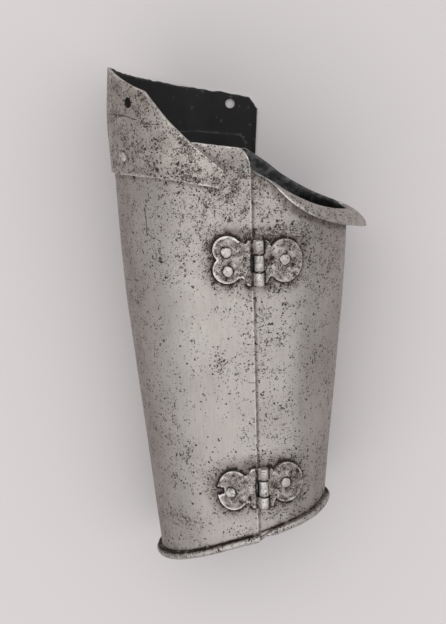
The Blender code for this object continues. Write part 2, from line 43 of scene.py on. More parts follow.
# the limb that both plates wrap: Y runs to the elbow, Z to the hinges, X to the hinged plate
limb = {
    "length": 188 * mm,
    "wristHalf": (40.5 * mm, 34.5 * mm),  # half the width, half the depth
    "elbowHalf": (55.9 * mm, 47.7 * mm),
    "taper": (  # place as a share of the length, then how much of the widening and deepening is reached
        (-0.11, -0.13, -0.11), (0.0, 0.0, 0.0), (0.32, 0.396, 0.32), (0.64, 0.792, 0.64),
        (0.80, 0.909, 0.80), (0.93, 0.968, 0.93), (1.064, 1.045, 1.064), (1.18, 0.974, 1.18),
    ),
    "slant": 0.22,  # the wrist edge's rise across the limb
    "bottomFlat": math.radians(11),
    "pitch": math.radians(3.644),
    "place": Vector((-3.0915, -106.5976, 36.4607)) * mm,
    "waver": 0.16 * mm,  # how far the hammered sheet strays
    "waverLength": 27 * mm, "waverAround": 2.1,
}
sheet = 1.3 * mm
gap = 0.3 * mm
seamX = 8.1 * mm
hingeX = 10.9 * mm
laid = Matrix.Translation(limb["place"]) @ Matrix.Rotation(limb["pitch"], 4, "X")
unlaid = laid.inverted()


def blend(start, end, share):
    return start + (end - start) * share


def fade(value, start, end):  # 0 at start, 1 at end, soft between
    share = min(1.0, max(0.0, (value - start) / (end - start)))
    return share * share * (3 - 2 * share)


def straight(table, value, column=1):
    for low, high in zip(table, table[1:]):
        if value <= high[0]:
            return blend(low[column], high[column], max(0.0, (value - low[0]) / (high[0] - low[0])))
    return table[-1][column]


def curved(table, value, column=1):  # a soft curve through the table's rows
    if value <= table[0][0]:
        return table[0][column]
    if value >= table[-1][0]:
        return table[-1][column]
    k = next(i for i in range(len(table) - 1) if value <= table[i + 1][0])
    slopes = [(b[column] - a[column]) / (b[0] - a[0]) for a, b in zip(table, table[1:])]
    width = table[k + 1][0] - table[k][0]
    first = (slopes[max(k - 1, 0)] + slopes[k]) / 2 * width
    last = (slopes[k] + slopes[min(k + 1, len(slopes) - 1)]) / 2 * width
    t = (value - table[k][0]) / width
    start, end = table[k][column], table[k + 1][column]
    return (
        (2 * t**3 - 3 * t**2 + 1) * start + (t**3 - 2 * t**2 + t) * first
        + (3 * t**2 - 2 * t**3) * end + (t**3 - t**2) * last
    )


def halfAxes(s):
    place = s / limb["length"]
    return (
        blend(limb["wristHalf"][0], limb["elbowHalf"][0], curved(limb["taper"], place, 1)),
        blend(limb["wristHalf"][1], limb["elbowHalf"][1], curved(limb["taper"], place, 2)),
    )


def onLimb(s, angle, out):
    width, depth = halfAxes(s)
    height = math.cos(angle)
    around = limb["waverAround"]
    spot = Vector((around * math.sin(angle), around * height, s / limb["waverLength"]))
    out += limb["waver"] * noise.noise(spot) * fade(height, -0.95, -0.6)
    height = max(height, -math.cos(limb["bottomFlat"]))
    return Vector(((width + out) * math.sin(angle), s, (depth + out) * height))


def atLateral(x, s):  # the angle of this distance from the middle
    return math.asin(x / halfAxes(s)[0])


def surfaceFrame(s, angle, out):  # Z stands out of the surface, Y runs along it
    step = 1 * mm
    along = (onLimb(s + step, angle, out) - onLimb(s - step, angle, out)).normalized()
    turn = step / limb["elbowHalf"][0]
    across = onLimb(s, angle + turn, out) - onLimb(s, angle - turn, out)
    normal = across.cross(along).normalized()
    place = Matrix((along.cross(normal), along, normal)).transposed().to_4x4()
    place.translation = onLimb(s, angle, out)
    return place


def newObject(name, shape, place=laid):
    mesh = bpy.data.meshes.new(name)
    shape.transform(place)
    shape.to_mesh(mesh)
    shape.free()
    made = bpy.data.objects.new(name, mesh)
    bpy.context.scene.collection.objects.link(made)
    return made


def fill(tree, node, inputs):  # each socket is linked or gets its value
    for key, value in inputs.items():
        if isinstance(value, bpy.types.NodeSocket):
            tree.links.new(value, node.inputs[key])
        else:
            node.inputs[key].default_value = value


# the camera looks down on the hinges, as the photo's does
camera = {
    "target": Vector((-9.01, -2.51, 43.09)) * mm,
    "distance": 700 * mm,
    "lean": math.radians(6.856),
    "roll": math.radians(1.6),
    "lens": 83.19,
}


def makeCamera():
    lean, roll = camera["lean"], camera["roll"]
    back = Vector((0, math.sin(lean), math.cos(lean)))
    right, up = Vector((1, 0, 0)), Vector((0, math.cos(lean), -math.sin(lean)))
    turnedRight = right * math.cos(roll) - up * math.sin(roll)
    turnedUp = right * math.sin(roll) + up * math.cos(roll)
    data = bpy.data.cameras.new("camera")
    data.lens = camera["lens"]
    data.clip_start = 0.01
    eye = bpy.data.objects.new("camera", data)
    eye.matrix_world = Matrix((turnedRight, turnedUp, back)).transposed().to_4x4()
    eye.location = camera["target"] + back * camera["distance"]
    bpy.context.scene.collection.objects.link(eye)
    bpy.context.scene.camera = eye


studio = {
    "world": (0.60, 0.60, 0.615), "worldStrength": 0.92,
    "floor": (0.635, 0.602, 0.602), "floorHalf": 2.0, "floorRoughness": 0.9, "floorShine": 0.1,
    "aim": (0, 0, 0.04),
    "lamps": (  # name, place, size, power, colour
        ("overhead", (0.0, 0.15, 3.0), 8.6, 143, (1.0, 0.99, 0.98)),
        ("left", (-1.6, -1.0, 1.2), 1.8, 2.5, (1.0, 0.98, 0.96)),
    ),
}


def makeStudio():
    scene = bpy.context.scene
    scene.view_settings.view_transform = "Standard"
    world = bpy.data.worlds.new("studio")
    world.use_nodes = True
    light = {"Color": (*studio["world"], 1), "Strength": studio["worldStrength"]}
    fill(world.node_tree, world.node_tree.nodes["Background"], light)
    scene.world = world
    for name, place, size, power, colour in studio["lamps"]:
        data = bpy.data.lights.new(name, "AREA")
        data.shape = "DISK"
        data.size = size
        data.energy = power
        data.color = colour
        lamp = bpy.data.objects.new(name, data)
        lamp.location = place
        lamp.rotation_euler = (Vector(place) - Vector(studio["aim"])).to_track_quat("Z", "Y").to_euler()
        scene.collection.objects.link(lamp)
    shape = bmesh.new()
    bmesh.ops.create_grid(shape, x_segments=1, y_segments=1, size=studio["floorHalf"])
    floor = newObject("floor", shape, Matrix())
    paper = bpy.data.materials.new("floorPaper")
    paper.use_nodes = True
    look = {
        "Base Color": (*studio["floor"], 1), "Roughness": studio["floorRoughness"],
        "Specular IOR Level": studio["floorShine"],
    }
    fill(paper.node_tree, paper.node_tree.nodes["Principled BSDF"], look)
    floor.data.materials.append(paper)


makeCamera()
makeStudio()
print("camera and studio made")


def put(tree, kind, inputs, **settings):  # one shader node, of which the outputs are kept
    node = tree.nodes.new("ShaderNode" + kind)
    for key, value in settings.items():
        setattr(node, key, value)
    fill(tree, node, inputs)
    return node.outputs


def calc(tree, operation, first, second, third=0.0):
    return put(tree, "Math", {0: first, 1: second, 2: third}, operation=operation)[0]


def times(tree, first, second):
    return calc(tree, "MULTIPLY", first, second)


def larger(tree, first, second):
    return calc(tree, "MAXIMUM", first, second)


def vectorCalc(tree, operation, first, second):
    return put(tree, "VectorMath", {0: first, 1: second}, operation=operation)


def scaled(tree, vector, share):
    return put(tree, "VectorMath", {0: vector, "Scale": share}, operation="SCALE")[0]


def ramp(tree, value, low, high, start=0.0, end=1.0):
    inputs = {"Value": value, "From Min": low, "From Max": high, "To Min": start, "To Max": end}
    return put(tree, "MapRange", inputs, interpolation_type="SMOOTHSTEP")[0]


def mixColour(tree, factor, first, second):
    return put(tree, "Mix", {0: factor, 6: first, 7: second}, data_type="RGBA")[2]


def noiseAt(tree, vector, scale, detail=3.0, roughness=0.55, output="Fac"):
    inputs = {"Vector": vector, "Scale": scale, "Detail": detail, "Roughness": roughness}
    return put(tree, "TexNoise", inputs)[output]


def strayed(tree, vector, scale, reach):  # the place, moved about by a noise
    drift = vectorCalc(tree, "SUBTRACT", noiseAt(tree, vector, scale, 2.0, output="Color"), (0.5, 0.5, 0.5))[0]
    return vectorCalc(tree, "ADD", vector, scaled(tree, drift, reach))[0]


def makeGroup(name, inputs, outputs):  # the names of its sockets, by kind
    tree = bpy.data.node_groups.new(name, "ShaderNodeTree")
    for sockets, way in ((inputs, "INPUT"), (outputs, "OUTPUT")):
        for kind, names in sockets.items():
            for socket in names:
                tree.interface.new_socket(socket, in_out=way, socket_type="NodeSocket" + kind)
    return tree, tree.nodes.new("NodeGroupInput").outputs, tree.nodes.new("NodeGroupOutput")


pit = {
    "strayScale": 1.1, "strayReach": 1.4,  # both against the pits' own scale
    "sizes": (0.5, 0.6),  # the least share of the given size, and what chance adds
    "core": 0.82, "strength": (0.45, 1.0),
}


def makeRustPits():  # a pit in each cell of a cell pattern, as often as the density says
    tree, given, result = makeGroup(
        "rustPits", {"Vector": ["Vector"], "Float": ["Density", "Scale", "Size"]}, {"Float": ["Mask"]}
    )
    scale = given["Scale"]
    reach = calc(tree, "DIVIDE", pit["strayReach"], scale)
    spot = strayed(tree, given["Vector"], times(tree, scale, pit["strayScale"]), reach)
    cells = put(tree, "TexVoronoi", {"Vector": spot, "Scale": scale})
    lots = put(tree, "SeparateColor", {0: cells["Color"]})
    drawn = calc(tree, "LESS_THAN", lots[0], given["Density"])
    least, chance = pit["sizes"]
    radius = times(tree, given["Size"], calc(tree, "MULTIPLY_ADD", lots[1], chance, least))
    depth = ramp(tree, cells["Distance"], times(tree, radius, pit["core"]), radius, 1.0, 0.0)
    strength = times(tree, ramp(tree, lots[2], 0.0, 0.8, *pit["strength"]), drawn)
    fill(tree, result, {"Mask": times(tree, depth, strength)})
    return tree


def makeLineMark():  # a scratch or crease between two points
    tree, given, result = makeGroup(
        "lineMark", {"Vector": ["Vector", "Start", "End"], "Float": ["Width"]}, {"Float": ["Mask"]}
    )
    spot = strayed(tree, given["Vector"], 420.0, 1.2 * mm)
    run = vectorCalc(tree, "SUBTRACT", given["End"], given["Start"])[0]
    reach = vectorCalc(tree, "SUBTRACT", spot, given["Start"])[0]
    length = vectorCalc(tree, "DOT_PRODUCT", run, run)["Value"]
    along = vectorCalc(tree, "DOT_PRODUCT", reach, run)["Value"]
    share = put(tree, "Clamp", {0: calc(tree, "DIVIDE", along, length)})[0]
    away = vectorCalc(tree, "DISTANCE", reach, scaled(tree, run, share))["Value"]
    fill(tree, result, {"Mask": ramp(tree, away, 0.0, given["Width"], 1.0, 0.0)})
    return tree


# the stain tone paints brown tarnish and also painted shade; the crust tone paints rust and near-black painted
# shade
steelTones = {
    "haze": (0.160, 0.132, 0.114, 1), "streaks": (0.16, 0.15, 0.14, 1), "stainAndShade": (0.076, 0.045, 0.036, 1),
    "crustAndShade": (0.018, 0.013, 0.011, 1), "rubbed": (0.80, 0.78, 0.74, 1), "pits": (0.021, 0.013, 0.010, 1),
}
pitSizes = (  # share of the pit scale, size in its cell, share of the density, strength
    (1.7, 0.62, 0.62, 0.85), (0.95, 0.60, 0.66, 1.0), (0.5, 0.44, 0.24, 1.0),
)


def makeWornSteelWithShade():  # colour, roughness, metal share and relief of old, pitted steel; its stain and crust colours also paint shade
    tree, given, result = makeGroup(
        "wornSteelWithShade",
        {
            "Vector": ["Vector"], "Color": ["Pale", "Deep"],
            "Float": ["Pitting", "Tarnish And Shade", "Edge", "Marks", "Pit Scale", "Smoothness"],
        },
        {"Color": ["Color"], "Float": ["Roughness", "Metallic", "Height"]},
    )
    vector, pitting, tarnishAndShade, edge = (given[key] for key in ("Vector", "Pitting", "Tarnish And Shade", "Edge"))
    clouds = noiseAt(tree, vector, 38.0, 4.0)
    mottle = noiseAt(tree, vector, 260.0, 6.0, 0.65)
    grain = noiseAt(tree, vector, 2600.0, 3.0, 0.6)
    brushed = noiseAt(tree, vectorCalc(tree, "MULTIPLY", vector, (1.0, 0.06, 1.0))[0], 900.0)
    clumps = ramp(tree, noiseAt(tree, vector, 150.0, 4.0, 0.65), 0.38, 0.62, 0.15, 1.5)
    density = times(tree, pitting, clumps)
    pits = 0.0
    for scale, size, share, strength in pitSizes:
        inputs = {
            "Vector": vector, "Density": times(tree, density, share),
            "Scale": times(tree, given["Pit Scale"], scale), "Size": size,
        }
        mask = put(tree, "Group", inputs, node_tree=rustPits)["Mask"]
        pits = larger(tree, pits, times(tree, mask, strength))
    pits = times(tree, pits, ramp(tree, edge, 0.2, 0.8, 1.0, 0.25))
    pits = larger(tree, pits, given["Marks"])
    tone = calc(tree, "MULTIPLY_ADD", clouds, 0.55, times(tree, mottle, 0.45))
    colour = mixColour(tree, ramp(tree, tone, 0.34, 0.64), given["Deep"], given["Pale"])
    haze = times(tree, ramp(tree, mottle, 0.44, 0.66, 0.0, 0.42), clumps)
    # the tarnish input carries real stain and painted shade alike, both laid on as the stain colour
    stainAndShade = times(tree, tarnishAndShade, ramp(tree, mottle, 0.3, 0.6, 0.6, 1.0))
    layers = {  # from the metal up
        "haze": times(tree, haze, pitting),
        "streaks": ramp(tree, brushed, 0.35, 0.7, 0.0, 0.12),
        "stainAndShade": stainAndShade,
        "crustAndShade": ramp(tree, tarnishAndShade, 0.72, 0.98),  # near-black: rust round the leaves, and painted shade in the slots, knuckle gaps, valleys, the roll's crease and round the rivets
        "rubbed": times(tree, edge, ramp(tree, mottle, 0.36, 0.58, 0.25, 1.0)),
        "pits": times(tree, pits, 0.97),
    }
    for layer, share in layers.items():
        colour = mixColour(tree, share, colour, steelTones[layer])
    rough = ramp(tree, mottle, 0.3, 0.7, 0.46, 0.58)
    for value, weight in ((given["Smoothness"], -0.06), (pits, 0.3), (stainAndShade, 0.25)):
        rough = calc(tree, "MULTIPLY_ADD", value, weight, rough)
    metal = calc(tree, "MULTIPLY_ADD", larger(tree, pits, stainAndShade), -0.7, 1.0)
    height = times(tree, grain, 0.10)
    for value, weight in ((pits, -0.8), (mottle, 0.5)):
        height = calc(tree, "MULTIPLY_ADD", value, weight, height)
    fill(tree, result, {"Color": colour, "Roughness": rough, "Metallic": metal, "Height": height})
    return tree


rustPits = makeRustPits()
lineMark = makeLineMark()
wornSteelWithShade = makeWornSteelWithShade()

steelLooks = {  # per finish: pale and deep tone, pits per metre, smoothness, relief
    "plate": ((0.478, 0.450, 0.420), (0.385, 0.355, 0.335), 1080.0, 1.0, 0.7),
    "extension": ((0.56, 0.515, 0.472), (0.41, 0.373, 0.342), 1080.0, 0.4, 0.9),
    "leaf": ((0.59, 0.55, 0.51), (0.30, 0.278, 0.256), 1450.0, 0.3, 1.1),
    "rivet": ((0.60, 0.57, 0.535), (0.42, 0.40, 0.37), 1500.0, 0.4, 1.0),
    "pin": ((0.50, 0.47, 0.44), (0.30, 0.28, 0.26), 1200.0, 0.3, 0.7),
}
# scratches and a patch's outline: lateral place and place along, from and to, then the width
plateMarks = (
    (-40.5, 158.5, -40.0, 152.9, 0.62), (-40.0, 152.9, -39.8, 147.6, 0.60),
    (-39.8, 147.6, -37.0, 145.7, 0.50), (-37.0, 145.7, -33.8, 144.8, 0.34),
    (-40.6, 158.9, -40.4, 158.2, 1.2), (-38.5, 166.4, -38.4, 163.0, 0.55),
    (-44.9, 174.3, -44.8, 171.4, 0.80), (-44.9, 174.3, -44.9, 173.4, 1.9),
)
leafMarks = (
    (18.0, 32.6, 18.9, 34.2, 0.34), (18.9, 34.2, 20.4, 34.6, 0.34),
    (21.8, 34.2, 23.2, 33.4, 0.34), (23.2, 33.4, 24.1, 31.6, 0.34),
)
extensionMarks = (
    (-54.6, 201.4, -53.0, 201.5, 0.50), (-53.0, 201.5, -50.6, 201.6, 0.52),
    (-50.6, 201.6, -47.9, 201.5, 0.52), (-47.9, 201.5, -44.0, 200.5, 0.52),
    (-44.0, 200.5, -41.2, 199.6, 0.48), (-39.4, 198.3, -35.3, 197.7, 0.50),
    (-35.3, 197.7, -31.0, 197.7, 0.42),
)


def newMaterial(name):  # with its shader, the place on the piece, and the wear as pitting, tarnish with painted shade, and edge
    material = bpy.data.materials.new(name)
    material.use_nodes = True
    tree = material.node_tree
    vector = put(tree, "TexCoord", {})["Object"]
    wearAndShadeChannels = put(tree, "SeparateColor", {0: put(tree, "Attribute", {}, attribute_name="wearAndShade")["Color"]})
    return material, tree, tree.nodes["Principled BSDF"], vector, wearAndShadeChannels


def makeSteel(name, look, marks=(), lifts=((0, 0.0), (1, 0.0))):
    # lifts: a lateral place and the height of the marked face there, in mm
    pale, deep, pitScale, smoothness, relief = steelLooks[look]
    material, tree, shader, vector, wearAndShadeChannels = newMaterial(name)
    lines = 0.0
    for x, s, toX, toS, width in marks:
        start, end = (
            laid @ onLimb(along * mm, atLateral(across * mm, along * mm), straight(lifts, across) * mm)
            for across, along in ((x, s), (toX, toS))
        )
        inputs = {"Vector": vector, "Start": start, "End": end, "Width": width * mm}
        lines = larger(tree, put(tree, "Group", inputs, node_tree=lineMark)["Mask"], lines)
    inputs = {
        "Vector": vector, "Pitting": wearAndShadeChannels[0], "Tarnish And Shade": wearAndShadeChannels[1], "Edge": wearAndShadeChannels[2], "Marks": lines,
        "Pale": (*pale, 1), "Deep": (*deep, 1), "Pit Scale": pitScale, "Smoothness": smoothness,
    }
    steel = put(tree, "Group", inputs, node_tree=wornSteelWithShade)
    bump = put(tree, "Bump", {"Height": steel["Height"], "Strength": relief, "Distance": 0.22 * mm})
    shared = {key: steel[key] for key in ("Roughness", "Metallic")}
    fill(tree, shader, {"Base Color": steel["Color"], "Normal": bump[0], **shared})
    return material


paint = {
    "dark": (0.0035, 0.0035, 0.004, 1), "light": (0.009, 0.009, 0.009, 1), "shine": 0.28,
    "speck": (0.075, 0.07, 0.065, 1), "bare": (0.20, 0.20, 0.205, 1),
}


def makeBlackPaint():  # the matte black inside, rubbed through at its edges
    material, tree, shader, vector, wearAndShadeChannels = newMaterial("blackInside")
    mottle = noiseAt(tree, vector, 170.0, 6.0, 0.65)
    colour = mixColour(tree, ramp(tree, mottle, 0.35, 0.7), paint["dark"], paint["light"])
    inputs = {"Vector": vector, "Density": 0.12, "Scale": 420.0, "Size": 0.35}
    specks = put(tree, "Group", inputs, node_tree=rustPits)["Mask"]
    colour = mixColour(tree, times(tree, specks, 0.5), colour, paint["speck"])
    rubbed = times(tree, wearAndShadeChannels[2], ramp(tree, mottle, 0.40, 0.6, 0.15, 0.9))
    bump = put(tree, "Bump", {"Height": mottle, "Strength": 0.5, "Distance": 0.3 * mm})
    look = {
        "Base Color": mixColour(tree, rubbed, colour, paint["bare"]), "Normal": bump[0],
        "Roughness": ramp(tree, mottle, 0.3, 0.7, 0.52, 0.72), "Specular IOR Level": paint["shine"],
    }
    fill(tree, shader, look)
    return material


plateSteel = makeSteel("plateSteel", "plate", plateMarks)
extensionSteel = makeSteel("extensionSteel", "extension", extensionMarks, ((0, 1.6), (1, 1.6)))
leafSteel = makeSteel("leafSteel", "leaf", leafMarks, ((18, 0.55), (24.1, 1.2)))
rivetSteel = makeSteel("rivetSteel", "rivet")
pinSteel = makeSteel("pinSteel", "pin")
blackInside = makeBlackPaint()
print("finishes made")

pieces = []  # each with its body, its slot and the solid's node that it replaces


def addPiece(node, shape, materials, body, slotName):
    piece = newObject(node + "_steel", shape)
    for material in materials:
        piece.data.materials.append(material)
    pieces.append((piece, body, slotName, (node,)))
    return piece


def bakeModifiers(piece):
    depsgraph = bpy.context.evaluated_depsgraph_get()
    mesh = bpy.data.meshes.new_from_object(piece.evaluated_get(depsgraph), depsgraph=depsgraph)
    shape = bmesh.new()
    shape.from_mesh(mesh)
    bmesh.ops.dissolve_degenerate(shape, dist=0.004 * mm, edges=shape.edges)
    shape.to_mesh(mesh)
    shape.free()
    old = piece.data
    piece.modifiers.clear()
    piece.data = mesh
    bpy.data.meshes.remove(old)


def shadeSoft(piece, degrees=38):
    piece.data.shade_smooth()
    piece.data.set_sharp_from_angle(angle=math.radians(degrees))


def thicken(piece):  # the sheet's other side
    solid = piece.modifiers.new("sheet", "SOLIDIFY")
    solid.thickness = sheet
    solid.offset = -1
    solid.use_even_offset = True
    solid.material_offset = 1
    solid.material_offset_rim = 1


def softenEdges(piece, width):
    soft = piece.modifiers.new("edges", "BEVEL")
    soft.width = width
    soft.segments = 2
    soft.limit_method = "ANGLE"
    soft.angle_limit = math.radians(50)
    bakeModifiers(piece)


def cutAway(piece, shape):  # takes a shape out of a finished sheet
    cutter = newObject("cutter", shape)
    cut = piece.modifiers.new("cut", "BOOLEAN")
    cut.object = cutter
    cut.solver = "EXACT"
    bakeModifiers(piece)
    bpy.data.objects.remove(cutter)


def gridSheet(columns, rows, place, isBlack):
    # a grid bent over the limb; place gives the point of a share across and a row along
    shape = bmesh.new()
    bmesh.ops.create_grid(shape, x_segments=columns, y_segments=rows, size=0.5)
    for face in shape.faces:
        centre = face.calc_center_median()
        face.material_index = 0 if isBlack(centre.x + 0.5, (centre.y + 0.5) * rows) else 1
    for vertex in shape.verts:
        share = round((vertex.co.x + 0.5) * columns) / columns
        vertex.co = place(share, round((vertex.co.y + 0.5) * rows))
    shape.normal_update()
    shape.faces.ensure_lookup_table()
    middle = shape.faces[(rows // 2) * columns + columns // 2]
    spot = middle.calc_center_median()
    if middle.normal.dot(Vector((spot.x, 0, spot.z))) > 0:  # the made side is the inside
        bmesh.ops.reverse_faces(shape, faces=shape.faces)
    return shape


def crowded(share, amount):  # steps closer together at both ends
    return share - amount * math.sin(math.tau * share) / math.tau


hem = {
    "height": 3.7 * mm, "proud": 2.7 * mm,
    "lastTurn": math.radians(464), "squareness": 0.75, "unevenness": 0.05,
    "bareShare": 0.86,  # how much of the roll is bare steel
    "sag": (  # share across the wrist, how far in mm the edge strays from straight
        (-1.0, -6.7), (-0.76, -6.1), (-0.53, -4.9), (-0.02, -2.7),
        (0.21, -2.7), (0.53, -1.6), (0.87, -0.9), (1.0, 0.5),
    ),
}


def hemPoint(edge, base, share, size, angle):
    # the sheet goes down, turns out and rolls up until it meets the wall; share 0 is the roll's end
    uneven = 1 + hem["unevenness"] * noise.noise(Vector((6 * math.sin(angle), 6 * math.cos(angle), 0)))
    up = hem["height"] / 2
    across = (hem["proud"] + sheet) / 2 * uneven
    turn = blend(hem["lastTurn"], math.pi, share)
    side, face = (math.copysign(abs(v) ** hem["squareness"], v) for v in (math.sin(turn), math.cos(turn)))
    rolled = (edge + up + up * side, base - sheet + across + across * face)
    plain = (edge + up * share, base - sheet)
    return blend(plain[0], rolled[0], size), blend(plain[1], rolled[1], size)


def wristEdge(angle):
    lateral = math.sin(angle)
    return limb["slant"] * halfAxes(0)[0] * lateral + mm * curved(hem["sag"], lateral)


outerPlate = {
    "columns": 200, "hemRows": 22, "wallRows": 158, "crowding": (0.72, 0.6),
    "top": ((-0.30, 1.008), (0.0, 0.996), (0.15, 0.992)),  # lateral share, place as a share of the length
    "nearCorner": (6 * mm, 9.4 * mm),
    "farCorner": (3.4 * mm, 6.5 * mm),
    "rag": 0.12 * mm,
}


def outerTop(angle):
    x = halfAxes(limb["length"])[0] * math.sin(angle)
    near = math.cos(angle) > 0
    width, height = outerPlate["nearCorner" if near else "farCorner"]
    share = max(0.0, 1 - (seamX - x) / width)
    top = limb["length"] * straight(outerPlate["top"], x / limb["elbowHalf"][0])
    rag = outerPlate["rag"] * noise.noise(Vector((x / (2.5 * mm), 3.1 if near else 7.7, 0)))
    return top - height * (1 - math.sqrt(1 - share * share)) + rag


def outerPoint(share, row):
    rows = outerPlate["hemRows"]

    def angleAt(s):
        near = atLateral(seamX, s)
        return blend(near, -math.pi - near, crowded(share, outerPlate["crowding"][0]))

    edge = wristEdge(angleAt(0))
    if row <= rows:
        s, out = hemPoint(edge, 0.0, row / rows, 1.0, angleAt(0))
    else:
        start = edge + hem["height"] / 2
        along = crowded((row - rows) / outerPlate["wallRows"], outerPlate["crowding"][1])
        s = blend(start, outerTop(angleAt(limb["length"])), along)
        out = -sheet
    return onLimb(s, angleAt(s), out)


def makePlate(node, body, sizes, place, isBlack):
    shape = gridSheet(sizes["columns"], rowsOf(sizes), place, isBlack)
    piece = addPiece(node, shape, (blackInside, plateSteel), body, "plate_steel")
    thicken(piece)
    softenEdges(piece, 0.28 * mm)
    return piece


def rowsOf(sizes):
    return sizes["hemRows"] + sizes["wallRows"] + sizes.get("flangeRows", 0)


def makeOuterPlate():
    hemBottom = outerPlate["hemRows"] * hem["bareShare"]
    return makePlate("outer_plate", "outer_half", outerPlate, outerPoint, lambda share, row: row > hemBottom)


innerPlate = {
    "columns": 190, "hemRows": 22, "wallRows": 128, "flangeRows": 30, "crowding": 0.6,
    "nearLap": 9 * mm, "farLap": 7 * mm,
    "farTuck": 0.8 * mm, "farTuckStart": 1.5 * mm,
    "tuckFrom": math.radians(15), "tuckTo": math.radians(40),
    "hemStart": 0.8 * mm, "hemTaper": 6.6 * mm, "hemSwell": 0.8,
    "reach": 9.9 * mm, "drop": 9.2 * mm, "flangeAt": 0.87,
    "top": (
        (0.145, 0.943), (0.249, 0.931), (0.340, 0.915), (0.438, 0.891), (0.546, 0.870),
        (0.671, 0.851), (0.818, 0.835), (0.939, 0.825), (1.000, 0.819),
    ),
    "flare": (  # degrees from the nearer seam side, share of the full flange
        (8.5, 0.0), (13.5, 0.14), (18.4, 0.27), (23.5, 0.53), (33, 0.76), (45, 0.80), (70, 0.88), (90, 1.0),
    ),
    "farRise": ((0.12, 2.9), (0.25, 2.6), (0.40, 1.6), (0.60, 0.8), (0.85, 0.2), (1.0, 0.0)),  # in mm
    "flange": (  # way along the upper face, share of the reach from the wall, rise in shares of the drop
        (0.0, 0.0, -0.34), (0.12, 0.015, -0.17), (0.24, 0.06, -0.045), (0.34, 0.134, 0.0),
        (0.48, 0.293, -0.03), (0.64, 0.532, -0.20), (0.78, 0.770, -0.46), (0.90, 0.938, -0.74),
        (1.0, 1.0, -1.0),
    ),
}


def innerOut(s, angle):
    plate = innerPlate
    tuck = (sheet + gap) * (1 - fade(min(angle, math.pi - angle), plate["tuckFrom"], plate["tuckTo"]))
    if math.cos(angle) < 0:
        reach = seamX + plate["farTuckStart"] - halfAxes(s)[0] * math.sin(angle)
        tuck += plate["farTuck"] * max(0.0, reach / (plate["farLap"] + plate["farTuckStart"]))
    return -tuck


def innerPoint(share, row):
    plate = innerPlate
    hemRows, wallRows = plate["hemRows"], plate["wallRows"]

    def angleAt(s):
        first = atLateral(seamX - plate["nearLap"], s)
        last = math.pi - atLateral(seamX - plate["farLap"], s)
        return blend(first, last, crowded(share, plate["crowding"]))

    edge = wristEdge(angleAt(0))
    if row <= hemRows:
        fromSeam = halfAxes(0)[0] * math.sin(angleAt(0)) - seamX - plate["hemStart"]
        size = min(1.0, max(0.0, fromSeam / plate["hemTaper"])) ** plate["hemSwell"]
        s, out = hemPoint(edge, innerOut(edge, angleAt(edge)), row / hemRows, size, angleAt(0))
        return onLimb(s, angleAt(s), out)
    topAngle = angleAt(plate["flangeAt"] * limb["length"])
    top = limb["length"] * curved(plate["top"], math.sin(topAngle))
    top += mm * curved(plate["farRise"], math.sin(topAngle)) * fade(-math.cos(topAngle), 0.0, 0.3)
    flare = curved(plate["flare"], math.degrees(min(topAngle, math.pi - topAngle)))
    rise = plate["flange"][0][2] * plate["drop"]
    if row <= hemRows + wallRows:
        along = crowded((row - hemRows) / wallRows, plate["crowding"])
        s = blend(edge + hem["height"] / 2, top + rise, along)
        return onLimb(s, angleAt(s), innerOut(s, angleAt(s)) - sheet)
    way = (row - hemRows - wallRows) / plate["flangeRows"]
    out = (plate["reach"] + sheet) * curved(plate["flange"], way, 1) * flare
    s = top + blend(rise * (1 - way), plate["drop"] * curved(plate["flange"], way, 2), flare)
    return onLimb(s, angleAt(top), innerOut(top, angleAt(top)) - sheet + out)


def makeInnerPlate():
    plate = innerPlate

    def isBlack(share, row):  # inside, and over the flange on the far side
        way = (row - plate["hemRows"] - plate["wallRows"]) / plate["flangeRows"]
        return row > plate["hemRows"] * hem["bareShare"] and way < 0.24 + 0.72 * fade(share, 0.53, 0.72)

    makePlate("inner_plate", "inner_half", plate, innerPoint, isBlack)


extension = {
    "stepsPerRow": 7, "rows": 40, "rag": 0.65 * mm, "holeRadius": 2.4 * mm,
    "holes": ((-53.0, 1.102), (-180.6, 1.077)),  # degrees round the limb, share of its length
    "outline": (  # degrees and share of the length at the wrist side, then at the elbow side
        (-6.5, 0.900, -4.0, 0.942), (-12.5, 0.906, -11.5, 0.975), (-19.6, 0.912, -18.4, 1.007),
        (-28.4, 0.920, -28.9, 1.059), (-35.0, 0.923, -36.0, 1.098), (-40.0, 0.925, -41.9, 1.129),
        (-47.5, 0.926, -48.5, 1.139), (-55.0, 0.927, -55.4, 1.150), (-64.0, 0.927, -64.5, 1.164),
        (-73.0, 0.927, -73.8, 1.177), (-82.0, 0.927, -82.0, 1.183), (-90.0, 0.927, -90.0, 1.185),
        (-98.0, 0.926, -98.0, 1.182), (-107.0, 0.925, -107.0, 1.174), (-116.0, 0.924, -116.0, 1.166),
        (-125.0, 0.923, -125.0, 1.158), (-134.0, 0.922, -134.0, 1.150), (-143.0, 0.920, -143.0, 1.141),
        (-151.0, 0.918, -151.0, 1.132), (-160.0, 0.916, -160.0, 1.124), (-169.0, 0.913, -169.0, 1.115),
        (-180.0, 0.908, -180.0, 1.105), (-189.0, 0.903, -190.1, 1.094), (-191.0, 0.902, -192.0, 1.080),
        (-192.6, 0.900, -194.3, 1.062),
    ),
}


def extensionPoint(share, row):
    outline = extension["outline"]
    place = share * (len(outline) - 1)
    k = min(int(place), len(outline) - 2)
    low, lowShare, high, highShare = (blend(a, b, place - k) for a, b in zip(outline[k], outline[k + 1]))
    along = row / extension["rows"]
    angle = math.radians(blend(low, high, along))
    rag = extension["rag"] * noise.noise(Vector((place * 2.7, 0.7, 0))) * fade(place, 10, 14)
    top = highShare * limb["length"] + rag
    return onLimb(blend(lowShare * limb["length"], top, along), angle, gap)


def rod(radius, low, high, sides, place):
    shape = bmesh.new()
    bmesh.ops.create_cone(
        shape, cap_ends=True, segments=sides, radius1=radius, radius2=radius, depth=high - low,
        matrix=place @ Matrix.Translation((0, 0, (low + high) / 2)),
    )
    return shape


